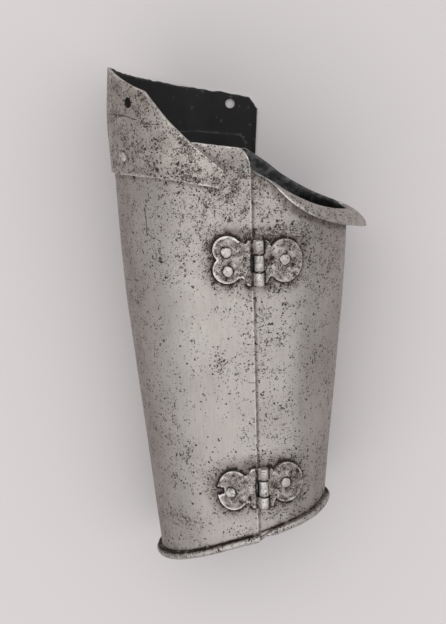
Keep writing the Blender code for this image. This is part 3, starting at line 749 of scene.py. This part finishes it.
def makeExtension():
    columns = extension["stepsPerRow"] * (len(extension["outline"]) - 1)
    shape = gridSheet(columns, extension["rows"], extensionPoint, lambda share, row: True)
    piece = addPiece("elbow_extension", shape, (blackInside, extensionSteel), "outer_half", "extension_steel")
    thicken(piece)
    for degrees, share in extension["holes"]:
        place = surfaceFrame(share * limb["length"], math.radians(degrees), gap + sheet)
        cutAway(piece, rod(extension["holeRadius"], -6 * mm, 6 * mm, 40, place))
    softenEdges(piece, 0.22 * mm)


hinge = {
    "length": 21.2 * mm,
    "upper": 134.5 * mm, "lower": 26.2 * mm,  # their middles along the limb
    "knuckle": 2.3 * mm, "clearance": 0.1 * mm, "middle": 7.4 * mm,
    "leaf": 1.2 * mm, "seat": 0.24 * mm,  # how far the leaf's underside comes down into the gap
    "openSlot": 1.15 * mm, "innerSlot": 0.45 * mm,
    "arcStep": 9, "grain": 0.5 * mm,
    "barrelHalf": {"upper": 10.4 * mm, "lower": 9.8 * mm}, "barrelGap": 0.4 * mm,
    "pin": 1.0 * mm, "pinHead": 1.6 * mm, "pinHeadHeight": 0.3 * mm, "pinClear": 0.1 * mm,
}
# outlines in shares of the hinge's length: reach from the pin, place along it; a lobe is an arc's middle,
# its two radii, its first and last degrees; a dish is hammered round each rivet
leaves = {
    "upper_outer": {
        "wristWing": ((0.21, -0.49), (0.25, -0.47)), "wristNotch": (0.36, -0.31),
        "lobes": ((0.675, -0.127, 0.30, 0.30, -142, 45), (0.670, 0.307, 0.30, 0.30, -45, 140)),
        "elbowNotch": (0.275, 0.42), "elbowWing": ((0.23, 0.49), (0.19, 0.50)),
        "rivets": ((0.693, 0.255), (0.665, -0.156)),
        "dish": (0.52 * mm, 4.4 * mm), "dome": 1.1,
    },
    "upper_inner": {
        "wristWing": ((0.14, -0.47), (0.18, -0.45)), "wristNotch": (0.235, -0.31),
        "lobes": ((0.560, 0.015, 0.355, 0.475, -135, 140),),
        "elbowNotch": (0.28, 0.32), "elbowWing": ((0.21, 0.46), (0.16, 0.48)),
        "rivets": ((0.557, 0.038),),
        "dish": (0.14 * mm, 3.4 * mm), "dome": 0.55,
    },
    "lower_outer": {
        "wristWing": ((0.20, -0.45), (0.24, -0.44)), "wristNotch": (0.35, -0.31),
        "lobes": ((0.665, -0.02, 0.345, 0.455, -128, 122),),
        "elbowNotch": (0.395, 0.31), "elbowWing": ((0.27, 0.46), (0.22, 0.47)),
        "rivets": ((0.726, -0.071),),
        "dish": (0.50 * mm, 5.6 * mm), "dome": 1.1, "brokenHole": (0.955, -0.022, 0.105),
    },
    "lower_inner": {
        "wristWing": ((0.16, -0.47), (0.21, -0.46)), "wristNotch": (0.275, -0.26),
        "lobes": ((0.505, 0.075, 0.335, 0.465, -140, 138),),
        "elbowNotch": (0.24, 0.34), "elbowWing": ((0.19, 0.43), (0.15, 0.44)),
        "rivets": ((0.486, 0.066),),
        "dish": (0.24 * mm, 3.8 * mm), "dome": 1.0,
    },
}

tear = {"beyond": 0.8, "steps": 9, "degrees": (-62, -300), "uneven": 0.12, "wave": 2.4}


def tornOpen(points, u, v, radius):
    kept = [(a, b) for a, b in points if math.hypot(a - u, b - v) > radius]
    rows = range(1, len(kept))
    after = next(k for k in rows if kept[k][1] > v and kept[k - 1][1] <= v and kept[k][0] > tear["beyond"])
    edge = []
    for k in range(tear["steps"] + 1):
        angle = math.radians(blend(*tear["degrees"], k / tear["steps"]))
        size = radius * (1 + tear["uneven"] * math.sin(k * tear["wave"]))
        edge.append((u + size * math.cos(angle), v + size * math.sin(angle)))
    return kept[:after] + edge + kept[after:]


def outlineOf(leaf, isInner):
    size = hinge["length"]
    points = list(leaf["wristWing"]) + [leaf["wristNotch"]]
    for u, v, radiusU, radiusV, first, last in leaf["lobes"]:
        steps = math.ceil((last - first) / hinge["arcStep"])
        for k in range(steps + 1):
            angle = math.radians(blend(first, last, k / steps))
            points.append((u + radiusU * math.cos(angle), v + radiusV * math.sin(angle)))
    points += [leaf["elbowNotch"]] + list(leaf["elbowWing"])
    if "brokenHole" in leaf:  # a rivet hole torn open to the leaf's side
        points = tornOpen(points, *leaf["brokenHole"])
    low, high = leaf["wristWing"][0][1], leaf["elbowWing"][-1][1]
    clear = (hinge["knuckle"] + gap) / size
    middle = hinge["middle"] / 2 / size
    if isInner:
        clear += hinge["innerSlot"] / size
        points += [(clear, high), (clear, middle), (0, middle), (0, -middle), (clear, -middle), (clear, low)]
    else:
        apart = middle + gap / size
        wide = clear + hinge["openSlot"] / size
        points += [(0, high), (0, apart), (wide, apart), (wide, -apart), (0, -apart), (0, low)]
    return [(u * size, v * size) for u, v in points]


def hingeAxis():  # the pins' line, in the limb's frame, from a point to a point
    out = -sheet + hinge["knuckle"] + hinge["clearance"]
    ends = []
    for s in (hinge["lower"], hinge["upper"]):
        width, depth = halfAxes(s)
        angle = atLateral(hingeX, s)
        ends.append(Vector(((width + out) * math.sin(angle), s, (depth + out) * math.cos(angle))))
    return ends


def hingeFrame(s):
    low, high = hingeAxis()
    axis = (high - low).normalized()
    side = Vector((1, 0, 0))
    place = Matrix((side, axis.cross(side), axis)).transposed().to_4x4()
    place.translation = blend(low, high, (s - hinge["lower"]) / (hinge["upper"] - hinge["lower"]))
    return place


def turned(profile, steps, place):  # spins radii and heights, from the axis back to the axis
    shape = bmesh.new()
    chain = [shape.verts.new((radius, 0, height)) for radius, height in profile]
    edges = [shape.edges.new(pair) for pair in zip(chain, chain[1:])]
    bmesh.ops.spin(
        shape, geom=chain + edges, cent=(0, 0, 0), axis=(0, 0, 1), angle=math.tau, steps=steps, use_merge=True
    )
    bmesh.ops.remove_doubles(shape, verts=shape.verts, dist=1e-6)
    bmesh.ops.recalc_face_normals(shape, faces=shape.faces)
    if shape.calc_volume(signed=True) < 0:
        bmesh.ops.reverse_faces(shape, faces=shape.faces)
    shape.transform(place)
    return shape


def knuckleProfile(radius, low, high, groove):
    soft = 0.35 * mm
    corner = soft * 0.3
    profile = [(0, low), (radius - soft, low), (radius - corner, low + corner), (radius, low + soft)]
    if groove:
        middle = (low + high) / 2
        profile += [(radius, middle - 0.3 * mm), (radius - 0.22 * mm, middle), (radius, middle + 0.3 * mm)]
    profile += [(radius, high - soft), (radius - corner, high - corner), (radius - soft, high), (0, high)]
    return profile


def joinShapes(shapes):
    joined = bmesh.new()
    for shape in shapes:
        mesh = bpy.data.meshes.new("part")
        shape.to_mesh(mesh)
        shape.free()
        joined.from_mesh(mesh)
        bpy.data.meshes.remove(mesh)
    return joined


def onLeaf(isInner, centre, u, v):  # place along the limb, angle and height of the wall under a leaf
    s = centre + v
    angle = atLateral(hingeX + (u if isInner else -u), s)
    return s, angle, innerOut(s, angle) if isInner else 0.0


leafRelief = {
    "rim": ((0.16 * mm, 0.40 * mm, 0.14 * mm), (0.34 * mm, 0.14 * mm, 0.0)),  # width, how deep before and after
    "dishFrom": 2.2 * mm,
    "valley": 1.1 * mm, "valleyDepth": 0.42 * mm,  # beside the knuckle
    "hammered": 0.10 * mm, "hammerLength": 3 * mm,
}


def leafSheet(leaf, centre, isInner):
    outline = outlineOf(leaf, isInner)
    shape = bmesh.new()
    face = shape.faces.new([shape.verts.new((u, v, 0)) for u, v in outline])
    if face.calc_area() and face.normal.z < 0:
        face.normal_flip()
    top = hinge["leaf"]
    for width, before, after in leafRelief["rim"]:
        for vertex in face.verts:
            vertex.co.z = top - before
        bmesh.ops.inset_region(shape, faces=[face], thickness=width, use_even_offset=True)
        for vertex in face.verts:
            vertex.co.z = top - after
    reach = max(u for u, v in outline)
    side = max(abs(v) for u, v in outline)
    for axis, low, high in (((1, 0, 0), 0, reach), ((0, 1, 0), -side, side)):
        steps = math.ceil((high - low) / hinge["grain"])
        for k in range(1, steps):
            spot = Vector(axis) * blend(low, high, k / steps)
            geometry = shape.verts[:] + shape.edges[:] + shape.faces[:]
            bmesh.ops.bisect_plane(shape, geom=geometry, dist=1e-7, plane_co=spot, plane_no=axis)
    depth, width = leaf["dish"]
    valley = leafRelief["valley"]
    for vertex in shape.verts:
        u, v = vertex.co.x, vertex.co.y
        for place in leaf["rivets"]:
            away = math.hypot(u - place[0] * hinge["length"], v - place[1] * hinge["length"])
            vertex.co.z -= depth * (1 - fade(away, leafRelief["dishFrom"], width))
        vertex.co.z -= leafRelief["valleyDepth"] * (1 - fade(abs(u - hinge["knuckle"] - valley) / valley, 0, 1))
        spot = Vector((u, v, centre)) / leafRelief["hammerLength"]
        vertex.co.z += leafRelief["hammered"] * noise.noise(spot)
    for item in bmesh.ops.extrude_face_region(shape, geom=shape.faces[:])["geom"]:
        if isinstance(item, bmesh.types.BMVert):
            item.co.z = -hinge["seat"]
    bmesh.ops.recalc_face_normals(shape, faces=shape.faces)
    for vertex in shape.verts:
        s, angle, base = onLeaf(isInner, centre, vertex.co.x, vertex.co.y)
        vertex.co = onLimb(s, angle, base + gap + vertex.co.z)
    if shape.calc_volume(signed=True) < 0:
        bmesh.ops.reverse_faces(shape, faces=shape.faces)
    return shape


rivet = {
    "head": 2.4 * mm, "skirt": 0.25 * mm, "shank": 1.25 * mm,
    "back": (2.1 * mm, 1.7 * mm), "backHeights": (0.3 * mm, 0.6 * mm, 0.7 * mm),
    "backFrom": -sheet - 0.1 * mm, "extensionDome": 1.5,
    "dents": 0.09 * mm, "dentLength": 1.1 * mm, "swell": 0.22, "hammeredAbove": 0.4 * mm,
}


def makeRivet(node, spot, top, dome, seed, body):
    # a hammered head on the stack's top, the shank, and the clenched back inside
    profile = [(0, top + dome * mm)]
    for k in range(1, 9):
        turn = math.radians(90 * k / 8)
        profile.append((rivet["head"] * math.sin(turn) ** 0.7, top + dome * mm * math.cos(turn) ** 0.55))
    skirt, shank, bottom = top - rivet["skirt"], rivet["shank"], rivet["backFrom"]
    (wide, narrow), (first, second, last) = rivet["back"], rivet["backHeights"]
    profile += [(rivet["head"], skirt), (shank, skirt), (shank, bottom), (wide, bottom)]
    profile += [(wide, bottom - first), (narrow, bottom - second), (0, bottom - last)]
    shape = turned(profile, 36, spot)
    inverse, outward = spot.inverted(), spot.to_3x3()
    for vertex in shape.verts:  # small flats and dents on the head
        local = inverse @ vertex.co
        if local.z > rivet["hammeredAbove"]:
            ring = Vector((local.x, local.y, 0)).normalized() * 1.4
            swell = rivet["swell"] * noise.noise(ring + Vector((0, 0, seed)))
            dent = rivet["dents"] * noise.noise(local / rivet["dentLength"] + Vector((seed, 0, 0)))
            vertex.co += outward @ Vector((local.x * swell, local.y * swell, dent))
    addPiece(node, shape, (rivetSteel,), body, "rivet_steel")


def makeHinge(name, centre):
    half, middle = hinge["barrelHalf"][name], hinge["middle"] / 2
    apart = middle + gap + hinge["barrelGap"]
    place = hingeFrame(centre)
    for label, body in (("outer", "outer_half"), ("inner", "inner_half")):
        isInner = label == "inner"
        leaf = leaves[f"{name}_{label}"]
        spans = ((-middle, middle),) if isInner else ((-half, -apart), (apart, half))
        barrels = [knuckleProfile(hinge["knuckle"], low, high, isInner) for low, high in spans]
        shapes = [leafSheet(leaf, centre, isInner)] + [turned(profile, 40, place) for profile in barrels]
        addPiece(f"{name}_{label}_leaf", joinShapes(shapes), (leafSteel,), body, "hinge_steel")
        top = gap + hinge["leaf"] - leaf["dish"][0] + 0.1 * mm
        for index, (u, v) in enumerate(leaf["rivets"]):
            spot = surfaceFrame(*onLeaf(isInner, centre, u * hinge["length"], v * hinge["length"]))
            letter = f"_{'ab'[index]}" if len(leaf["rivets"]) > 1 else ""
            seed = centre / mm + index * 3.7
            makeRivet(f"{name}_{label}_rivet{letter}", spot, top, leaf["dome"], seed, body)
    end, wide = half + hinge["pinClear"], hinge["pinHead"]
    head = end + hinge["pinHeadHeight"]
    profile = [(0, head), (wide * 0.6, head - 0.06 * mm), (wide, end + 0.16 * mm), (wide, end)]
    profile.append((hinge["pin"], end))
    profile += [(radius, -height) for radius, height in reversed(profile)]
    addPiece(f"{name}_pin", turned(profile, 32, place), (pinSteel,), "outer_half", "pin_steel")


extensionRivets = (("near", -59.3, 0.971), ("far", -150.0, 0.952))  # degrees, share of the limb's length
stud = {
    "x": 4.0 * mm, "place": 79 * mm, "shank": 1.25 * mm, "slotDepth": 14 * mm,
    "head": ((0, 1.0 * mm), (1.7 * mm, 1.0 * mm), (2.2 * mm, 0.8 * mm), (2.4 * mm, 0.45 * mm), (2.4 * mm, 0)),
    "back": ((2.1 * mm, 0), (1.7 * mm, 0.7 * mm), (0, 0.7 * mm)),
}


def makeExtensionRivets():
    for label, degrees, share in extensionRivets:
        spot = surfaceFrame(share * limb["length"], math.radians(degrees), 0)
        node = f"extension_rivet_{label}"
        makeRivet(node, spot, gap + sheet, rivet["extensionDome"], share * 50, "outer_half")


def makeStud(outer):  # the stud, and the slot that it leaves the outer plate by
    s, shank = stud["place"], stud["shank"]
    angle = math.pi - atLateral(stud["x"], s)
    spot = surfaceFrame(s, angle, 0)
    back = innerOut(s, angle) - sheet - gap
    profile = [(radius, gap + height) for radius, height in stud["head"]] + [(shank, gap), (shank, back)]
    profile += [(radius, back - height) for radius, height in stud["back"]]
    addPiece("closing_stud", turned(profile, 32, spot), (rivetSteel,), "inner_half", "rivet_steel")
    slot = bmesh.new()
    half = shank + gap
    length = seamX - stud["x"] + 3 * half
    bmesh.ops.create_cube(slot, size=1)
    bmesh.ops.scale(slot, vec=(length, 2 * half, stud["slotDepth"]), verts=slot.verts)
    toEdge = 1 if spot.col[0].x > 0 else -1
    bmesh.ops.translate(slot, vec=(toEdge * (length / 2 - half), 0, 0), verts=slot.verts)
    slot.transform(spot)
    cutAway(outer, slot)


outer = makeOuterPlate()
makeInnerPlate()
makeExtension()
print("plates and extension made")
makeHinge("upper", hinge["upper"])
makeHinge("lower", hinge["lower"])
makeExtensionRivets()
makeStud(outer)
print("hinges, rivets and stud made")

# where the surface is pitted and tarnished, the tarnish beside the leaves partly painted shade: middle across
# and along in mm, the two reaches, strength
wearZones = {
    "pitting": (
        (2, 176, 12, 18, 0.60), (0, 150, 16, 14, 0.32), (28, 148, 20, 14, 0.48), (40, 138, 12, 16, 0.26),
        (11, 102, 10, 24, 0.15), (-34, 140, 12, 18, 0.16), (-26, 9, 9, 5, 0.75), (-8, 88, 3, 3, 0.9),
        (-38, 116, 8, 40, 0.15), (-15, 165, 14, 10, 0.25), (-28, 44, 12, 20, 0.10), (-12, 60, 15, 52, -0.22),
        (-14, 100, 8, 30, -0.10), (-34, 180, 30, 30, 0.14),
    ),
    # brown stains; the spots just beside the leaves are stain with painted shade
    "tarnishAndShade": (
        (-32, 151.6, 3, 4, 0.14), (-4, 180, 16, 9, 0.30), (4, 160, 7, 16, 0.12), (4, 147, 6, 3.2, 0.45),
        (5, 38.5, 5, 3.2, 0.50), (-9, 28, 4, 8, 0.30), (16, 39, 5, 4, 0.25), (-10, 136, 3, 8, 0.25),
    ),
}


def zonesAt(kind, local):
    total = 0.0
    for x, s, reachX, reachS, strength in wearZones[kind]:
        across, along = (local.x / mm - x) / reachX, (local.y / mm - s) / reachS
        total += strength * math.exp(-across**2 - along**2)
    return total


def edgePoints():  # the free edges that hands and use have rubbed, laid out along the sheets
    points = []
    columns = 260
    for k in range(columns + 1):
        share = k / columns
        row = outerPlate["hemRows"] + share * outerPlate["wallRows"]
        points += [outerPoint(share, rowsOf(outerPlate)), outerPoint(0, row), outerPoint(1, row)]
        points.append(innerPoint(share, rowsOf(innerPlate)))
        points += [extensionPoint(share, extension["rows"]), extensionPoint(share, 0)]
        points.append(extensionPoint(0, share * extension["rows"]))
    for point in points[:]:  # and the same edges on the outside of the sheet
        width, depth = halfAxes(point.y)
        points.append(point + sheet * Vector((point.x / width**2, 0, point.z / depth**2)).normalized())
    return points


def crestPoints():  # where the flange turns over, on the far side
    row = innerPlate["hemRows"] + innerPlate["wallRows"] + 0.3 * innerPlate["flangeRows"]
    return [innerPoint(blend(0.55, 1.0, k / 120), row) for k in range(121)]


def laidEdgePoints():  # where the extension's edges lie on the outer plate
    return [extensionPoint(k / 240, row) for k in range(241) for row in (0, extension["rows"])]


def leafPoints(out, ofRivets=False):  # the leaves' outlines, or the middles of their rivet heads
    points = []
    for name, leaf in leaves.items():
        isInner = name.endswith("inner")
        places = outlineOf(leaf, isInner)
        if ofRivets:
            places = [(u * hinge["length"], v * hinge["length"]) for u, v in leaf["rivets"]]
        for place in places:
            s, angle, base = onLeaf(isInner, hinge[name.split("_")[0]], *place)
            points.append(onLimb(s, angle, out if ofRivets else out + base))
    return points


def extensionRivetPoints():
    places = [(share * limb["length"], math.radians(degrees)) for label, degrees, share in extensionRivets]
    return [onLimb(s, angle, gap + sheet) for s, angle in places]


def underRimPoints():  # the hinged plate's wall just under the flange's rim
    points = []
    for k in range(200):
        angle = math.radians(blend(8, 120, k / 199))
        flare = curved(innerPlate["flare"], math.degrees(min(angle, math.pi - angle)))
        top = limb["length"] * curved(innerPlate["top"], math.sin(angle))
        under = top - (0.7 * innerPlate["drop"] * flare + 1.5 * mm)
        points.append(onLimb(under, angle, innerOut(top, angle)))
    return points


def treeOf(points):
    tree = kdtree.KDTree(len(points))
    for index, point in enumerate(points):
        tree.insert(laid @ point, index)
    tree.balance()
    return tree


trees = {
    "edge": treeOf(edgePoints()),
    "underRimShadow": treeOf(underRimPoints()),
    "crest": treeOf(crestPoints()),
    "laidEdgeShadow": treeOf(laidEdgePoints()),
    "leaf": treeOf(leafPoints(gap)),
    "leafRim": treeOf(leafPoints(gap + hinge["leaf"] - 0.3 * mm)),
    "rivet": treeOf(leafPoints(gap + hinge["leaf"], True) + extensionRivetPoints()),
}


def writeWearAndShade(piece, pitting, tarnishAndShade, edge):
    attribute = piece.data.attributes.new("wearAndShade", "FLOAT_COLOR", "POINT")
    values = []
    for vertex in piece.data.vertices:
        local = unlaid @ vertex.co
        values += [min(1.0, max(0.0, share(vertex.co, local))) for share in (pitting, tarnishAndShade, edge)] + [1.0]
    attribute.data.foreach_set("color", values)


def awayFrom(tree, co):
    return trees[tree].find(co)[2]


def within(away, strength, full, none):  # all its strength within the first distance in mm, none past the second
    return strength * (1 - fade(away / mm, full, none))


def cloudy(co, mean, swing, length):  # a noise round its mean, its length in mm
    return mean + swing * noise.noise(co / (length * mm))


def darker(plain, added, most):  # adds up to a limit
    return max(plain, min(most, plain + added))


def onFlange(local):
    width, depth = halfAxes(local.y)
    return fade(math.hypot(local.x / width, local.z / depth), 1.02, 1.06) * fade(local.y, 140 * mm, 150 * mm)


def alongHinge(local):  # how far a point is from the nearer hinge's middle, along the limb
    return min(abs(local.y - hinge["upper"]), abs(local.y - hinge["lower"]))


def aboveWrist(local):
    lateral = min(1.0, max(-1.0, local.x / halfAxes(0)[0]))
    return local.y - wristEdge(math.asin(lateral))


# where wear and painted shade fade with a distance: strength, start and end in mm; where it is cloudy: mean,
# swing, length in mm
plateWearAndShade = {
    "upperSide": (-5 * mm, 10 * mm),
    "pits": (0.26, 0.26, 22), "leastPits": 0.03, "flangePits": 0.22,
    "rollPits": (0.45, 3, 9), "leafPits": (0.45, 1.5, 9),
    # the crust and the halo round the leaves are rust with painted shade
    "cloud": (1, 0.7, 2.2), "crustAndShade": (1.3, 0.9, 2.2), "haloRustAndShade": (0.72, 0.7, 3.4), "wash": (0.26, 1.5, 9),
    "rollMeets": 3.9 * mm,  # where the wrist's roll meets the wall
    # painted shade in the crease where the roll meets the wall
    "rollCreaseShade": (1.15, 0.15, 0.8), "creviceShade": (0.7, 0.3, 1.3),
    # painted shade on both sides of the plates, stronger on the left, paling along the limb on the right
    "sides": (0.70, 0.95), "left": 0.42, "right": 0.30, "rightPaling": 0.16, "palesAlong": (90 * mm, 130 * mm),
    "slot": (4.4 * mm, 9.4 * mm),  # painted near-black shade where the plate shows through the hinges' slots
    "base": 0.03, "most": 0.68,
    # painted shadow beside the edges of the extension that lies over the outer plate
    "lapCloud": (1, 0.8, 3), "laidEdgeShadow": (0.6, 0.8, 2.6), "laidMost": 0.72,
    # painted shadow beside the seam and under the flange's rim
    "seam": (0.75, 0.3, 1.9), "underRimShadow": (0.5, 1.2, 4.0), "seamMost": 0.78,
    "rubbed": 0.58, "rubbedCloud": (0.8, 0.8, 3.5), "rollRubbed": (0.30, 2.2, 3.2),
    "rubReach": 1.0, "farRubReach": 0.6, "awayFromLeaf": (1.5 * mm, 3.5 * mm),
    "seamRubbed": (0.6, 1.0), "seamClears": (150 * mm, 160 * mm),  # duller beside the hinges
    "crest": (0.85, 0.3, 1.8), "crestCloud": (0.8, 0.8, 4),
    "farFlange": (0.62, 0.5, 1.6), "farAlong": (0.80, 0.88), "farSide": (-12 * mm, 8 * mm), "flangeRubbed": 0.16,
}


def platePitting(co, local):
    wearAndShade = plateWearAndShade
    pits = cloudy(local, *wearAndShade["pits"]) + fade(local.z, *wearAndShade["upperSide"]) * zonesAt("pitting", local)
    pits += wearAndShade["flangePits"] * onFlange(local) + within(aboveWrist(local), *wearAndShade["rollPits"])
    return max(wearAndShade["leastPits"], pits + within(awayFrom("leaf", co), *wearAndShade["leafPits"]))


# tarnish of the plates, with painted shade in the slots, round the leaves, in the roll's crease and towards the
# sides
def plateTarnishAndShade(co, local):
    wearAndShade = plateWearAndShade
    toLeaf = awayFrom("leaf", co)
    toRoll = abs(aboveWrist(local) - wearAndShade["rollMeets"])
    cloud = cloudy(co, *wearAndShade["cloud"])
    crustAndShade = cloud * max(within(toLeaf, *wearAndShade["crustAndShade"]), within(toRoll, *wearAndShade["rollCreaseShade"]))
    # painted near-black shade under the hinges' slots
    width, along = wearAndShade["slot"]
    if local.z > 0 and abs(local.x - hingeX) < width and alongHinge(local) < along:
        crustAndShade = 1.0
    stainAndShade = within(toLeaf, *wearAndShade["haloRustAndShade"]) + within(toLeaf, *wearAndShade["wash"]) + within(toRoll, *wearAndShade["creviceShade"])
    # painted shade towards both sides, less over the flange
    right = wearAndShade["right"] - wearAndShade["rightPaling"] * fade(local.y, *wearAndShade["palesAlong"])
    side = (wearAndShade["left"] if local.x < 0 else right) * fade(abs(local.x) / halfAxes(local.y)[0], *wearAndShade["sides"])
    side *= 1 - 0.8 * onFlange(local)
    zones = fade(local.z, 0, 10 * mm) * zonesAt("tarnishAndShade", local)
    return max(crustAndShade, min(wearAndShade["most"], wearAndShade["base"] + cloud * stainAndShade + side + zones))


def outerTarnishAndShadow(co, local):  # painted shadow along the edges of the sheet riveted over it
    wearAndShade = plateWearAndShade
    lap = cloudy(co, *wearAndShade["lapCloud"]) * within(awayFrom("laidEdgeShadow", co), *wearAndShade["laidEdgeShadow"])
    return darker(plateTarnishAndShade(co, local), lap, wearAndShade["laidMost"])


def seamTarnish(co, local):  # painted shadow on the hinged plate where the other one lies over it, and under the flange's rim
    wearAndShade = plateWearAndShade
    seam = within(local.x - seamX, *wearAndShade["seam"]) * fade(local.z, 0, 5 * mm)
    lap = cloudy(co, *wearAndShade["lapCloud"]) * (seam + within(awayFrom("underRimShadow", co), *wearAndShade["underRimShadow"]))
    return darker(plateTarnishAndShade(co, local), lap, wearAndShade["seamMost"])


def plateEdge(co, local):
    wearAndShade = plateWearAndShade
    reach = wearAndShade["rubReach"] if local.z > 0 else wearAndShade["farRubReach"]
    rubbed = cloudy(co, *wearAndShade["rubbedCloud"]) * within(awayFrom("edge", co), wearAndShade["rubbed"], 0.3 * reach, reach)
    rubbed *= fade(awayFrom("leaf", co), *wearAndShade["awayFromLeaf"])
    rubbed *= blend(*wearAndShade["seamRubbed"], fade(local.y, *wearAndShade["seamClears"]))
    return max(within(aboveWrist(local), *wearAndShade["rollRubbed"]), rubbed)


def innerEdge(co, local):  # the far side of the flange is worn to a dull grey
    wearAndShade = plateWearAndShade
    far = fade(local.y / limb["length"], *wearAndShade["farAlong"]) * fade(-local.z, *wearAndShade["farSide"])
    crest = within(awayFrom("crest", co), *wearAndShade["crest"]) * cloudy(co, *wearAndShade["crestCloud"])
    flange = max(far * cloudy(co, *wearAndShade["farFlange"]), wearAndShade["flangeRubbed"] * onFlange(local))
    return max(plateEdge(co, local), crest, flange)


extensionWearAndShade = {
    "pits": (0.74, 0.25, 16), "band": (0.3, -16, 14),  # the band: strength, middle and reach across in mm
    # the ring is a painted shadow round each rivet
    "cloud": (0.07, 0.30, 10), "left": 0.26, "leftAlong": (20, 52), "ring": (0.9, 2.6, 3.6),
}


def extensionPitting(co, local):
    strength, middle, reach = extensionWearAndShade["band"]
    band = strength * math.exp(-((local.x / mm - middle) / reach) ** 2)
    return cloudy(local, *extensionWearAndShade["pits"]) + band


# mottled tarnish, darker to the left, with a painted shadow ring round each rivet
def extensionTarnishAndShadow(co, local):
    wearAndShade = extensionWearAndShade
    cloud = cloudy(co, *wearAndShade["cloud"]) + wearAndShade["left"] * fade(-local.x / mm, *wearAndShade["leftAlong"])
    return max(cloud, within(awayFrom("rivet", co), *wearAndShade["ring"]))


leafWearAndShade = {
    "pits": (0.95, 0.3, 6), "barrelPits": 0.35,
    # painted shade darkens the knuckles' sides, below their rubbed tops
    "barrel": 0.08, "barrelSidesShade": 0.75, "sidesFrom": (1.75 * mm, 2.3 * mm), "barrelRubbed": (0.5, 1.75, 2.2),
    # painted shade in the gaps between the knuckles
    "knuckleEnd": 0.35 * mm, "knuckleGapShade": (1, 0.35, 0.8), "valleyAlong": (-0.2 * mm, 0.5 * mm),
    # painted near-black shade in the outer leaf's slot beside the middle knuckle
    "slotReach": 1.9 * mm, "slotPast": 0.7 * mm,
    # painted shade in the valleys beside the knuckles
    "valleyAt": (3.0 * mm, 2.9 * mm), "outerValleyShade": (0.88, 0.5, 1.5), "innerValleyShade": (0.95, 0.2, 0.7),
    # the ring is painted shadow with dark stain round each rivet
    "ring": (1.1, 2.5, 3.9), "face": (0.38, 0.85, 2.2), "cloud": (1, 0.4, 1.5),
    "rims": (1, 0.5, 1.25), "rimCloud": (0.85, 1.1, 3), "outerRims": 1.1, "innerRims": 0.55,
    "rimsFrom": (3.2 * mm, 5 * mm),
}


def onBarrel(local):
    start, end = hingeAxis()
    along = (end - start).normalized()
    reach = local - start
    offAxis = (reach - along * reach.dot(along)).length
    return offAxis < hinge["knuckle"] + 0.09 * mm


# where the knuckles part: painted shade in the gap, and no rubbing there
def betweenKnuckles(local):
    away = abs(alongHinge(local) - hinge["middle"] / 2 - leafWearAndShade["knuckleEnd"])
    return within(away, *leafWearAndShade["knuckleGapShade"])


def leafPitting(co, local):
    return leafWearAndShade["barrelPits"] if onBarrel(local) else cloudy(co, *leafWearAndShade["pits"])


# tarnish of the leaves, with painted shade on the knuckles' sides, in gaps, slot and valleys and round the
# rivets
def leafTarnishAndShade(co, local):
    wearAndShade = leafWearAndShade
    away = abs(local.x - hingeX)
    # the knuckle: painted shade on its sides and in the gaps between knuckles
    if onBarrel(local):
        barrel = wearAndShade["barrel"] + wearAndShade["barrelSidesShade"] * fade(away, *wearAndShade["sidesFrom"])
        return max(barrel, betweenKnuckles(local))
    past = alongHinge(local) - hinge["middle"] / 2
    onOuter = local.x < hingeX
    # painted near-black shade in the outer leaf's slot
    if onOuter and away < hinge["knuckle"] + wearAndShade["slotReach"] and past < wearAndShade["slotPast"]:
        return 1.0
    # painted shade in the valley beside the outer knuckles
    if onOuter:
        valley = within(abs(away - wearAndShade["valleyAt"][0]), *wearAndShade["outerValleyShade"])
    else:
        valley = within(abs(away - wearAndShade["valleyAt"][1]), *wearAndShade["innerValleyShade"])
    valley *= fade(past, *wearAndShade["valleyAlong"])
    # painted shadow with dark stain round each rivet
    ring = within(awayFrom("rivet", co), *wearAndShade["ring"])
    return max(valley, ring, cloudy(co, *wearAndShade["face"])) * cloudy(co, *wearAndShade["cloud"])


def leafEdge(co, local):
    wearAndShade = leafWearAndShade
    away = abs(local.x - hingeX)
    if onBarrel(local):
        return (1 - betweenKnuckles(local)) * within(away, *wearAndShade["barrelRubbed"])
    rims = within(awayFrom("leafRim", co), *wearAndShade["rims"]) * cloudy(co, *wearAndShade["rimCloud"])
    return rims * wearAndShade["outerRims" if local.x < hingeX else "innerRims"] * fade(away, *wearAndShade["rimsFrom"])


def rivetTarnish(co, local):
    return cloudy(co, 0.10, 0.55, 1.5)


rivetWear = (lambda co, local: 0.15, rivetTarnish, lambda co, local: 0.10)
wearAndShadeOf = {  # by node or by slot: pitting, tarnish with painted shade, rubbed edges
    "outer_plate": (platePitting, outerTarnishAndShadow, plateEdge),
    "inner_plate": (platePitting, seamTarnish, innerEdge),
    "extension_steel": (extensionPitting, extensionTarnishAndShadow, plateEdge),
    "hinge_steel": (leafPitting, leafTarnishAndShade, leafEdge),
    "rivet_steel": rivetWear, "pin_steel": rivetWear,
}
for piece, body, slotName, nodes in pieces:
    writeWearAndShade(piece, *wearAndShadeOf[nodes[0] if nodes[0] in wearAndShadeOf else slotName])
    shadeSoft(piece)
    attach(piece, body)
    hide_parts(*nodes)
print("wear written, pieces placed:", len(pieces))
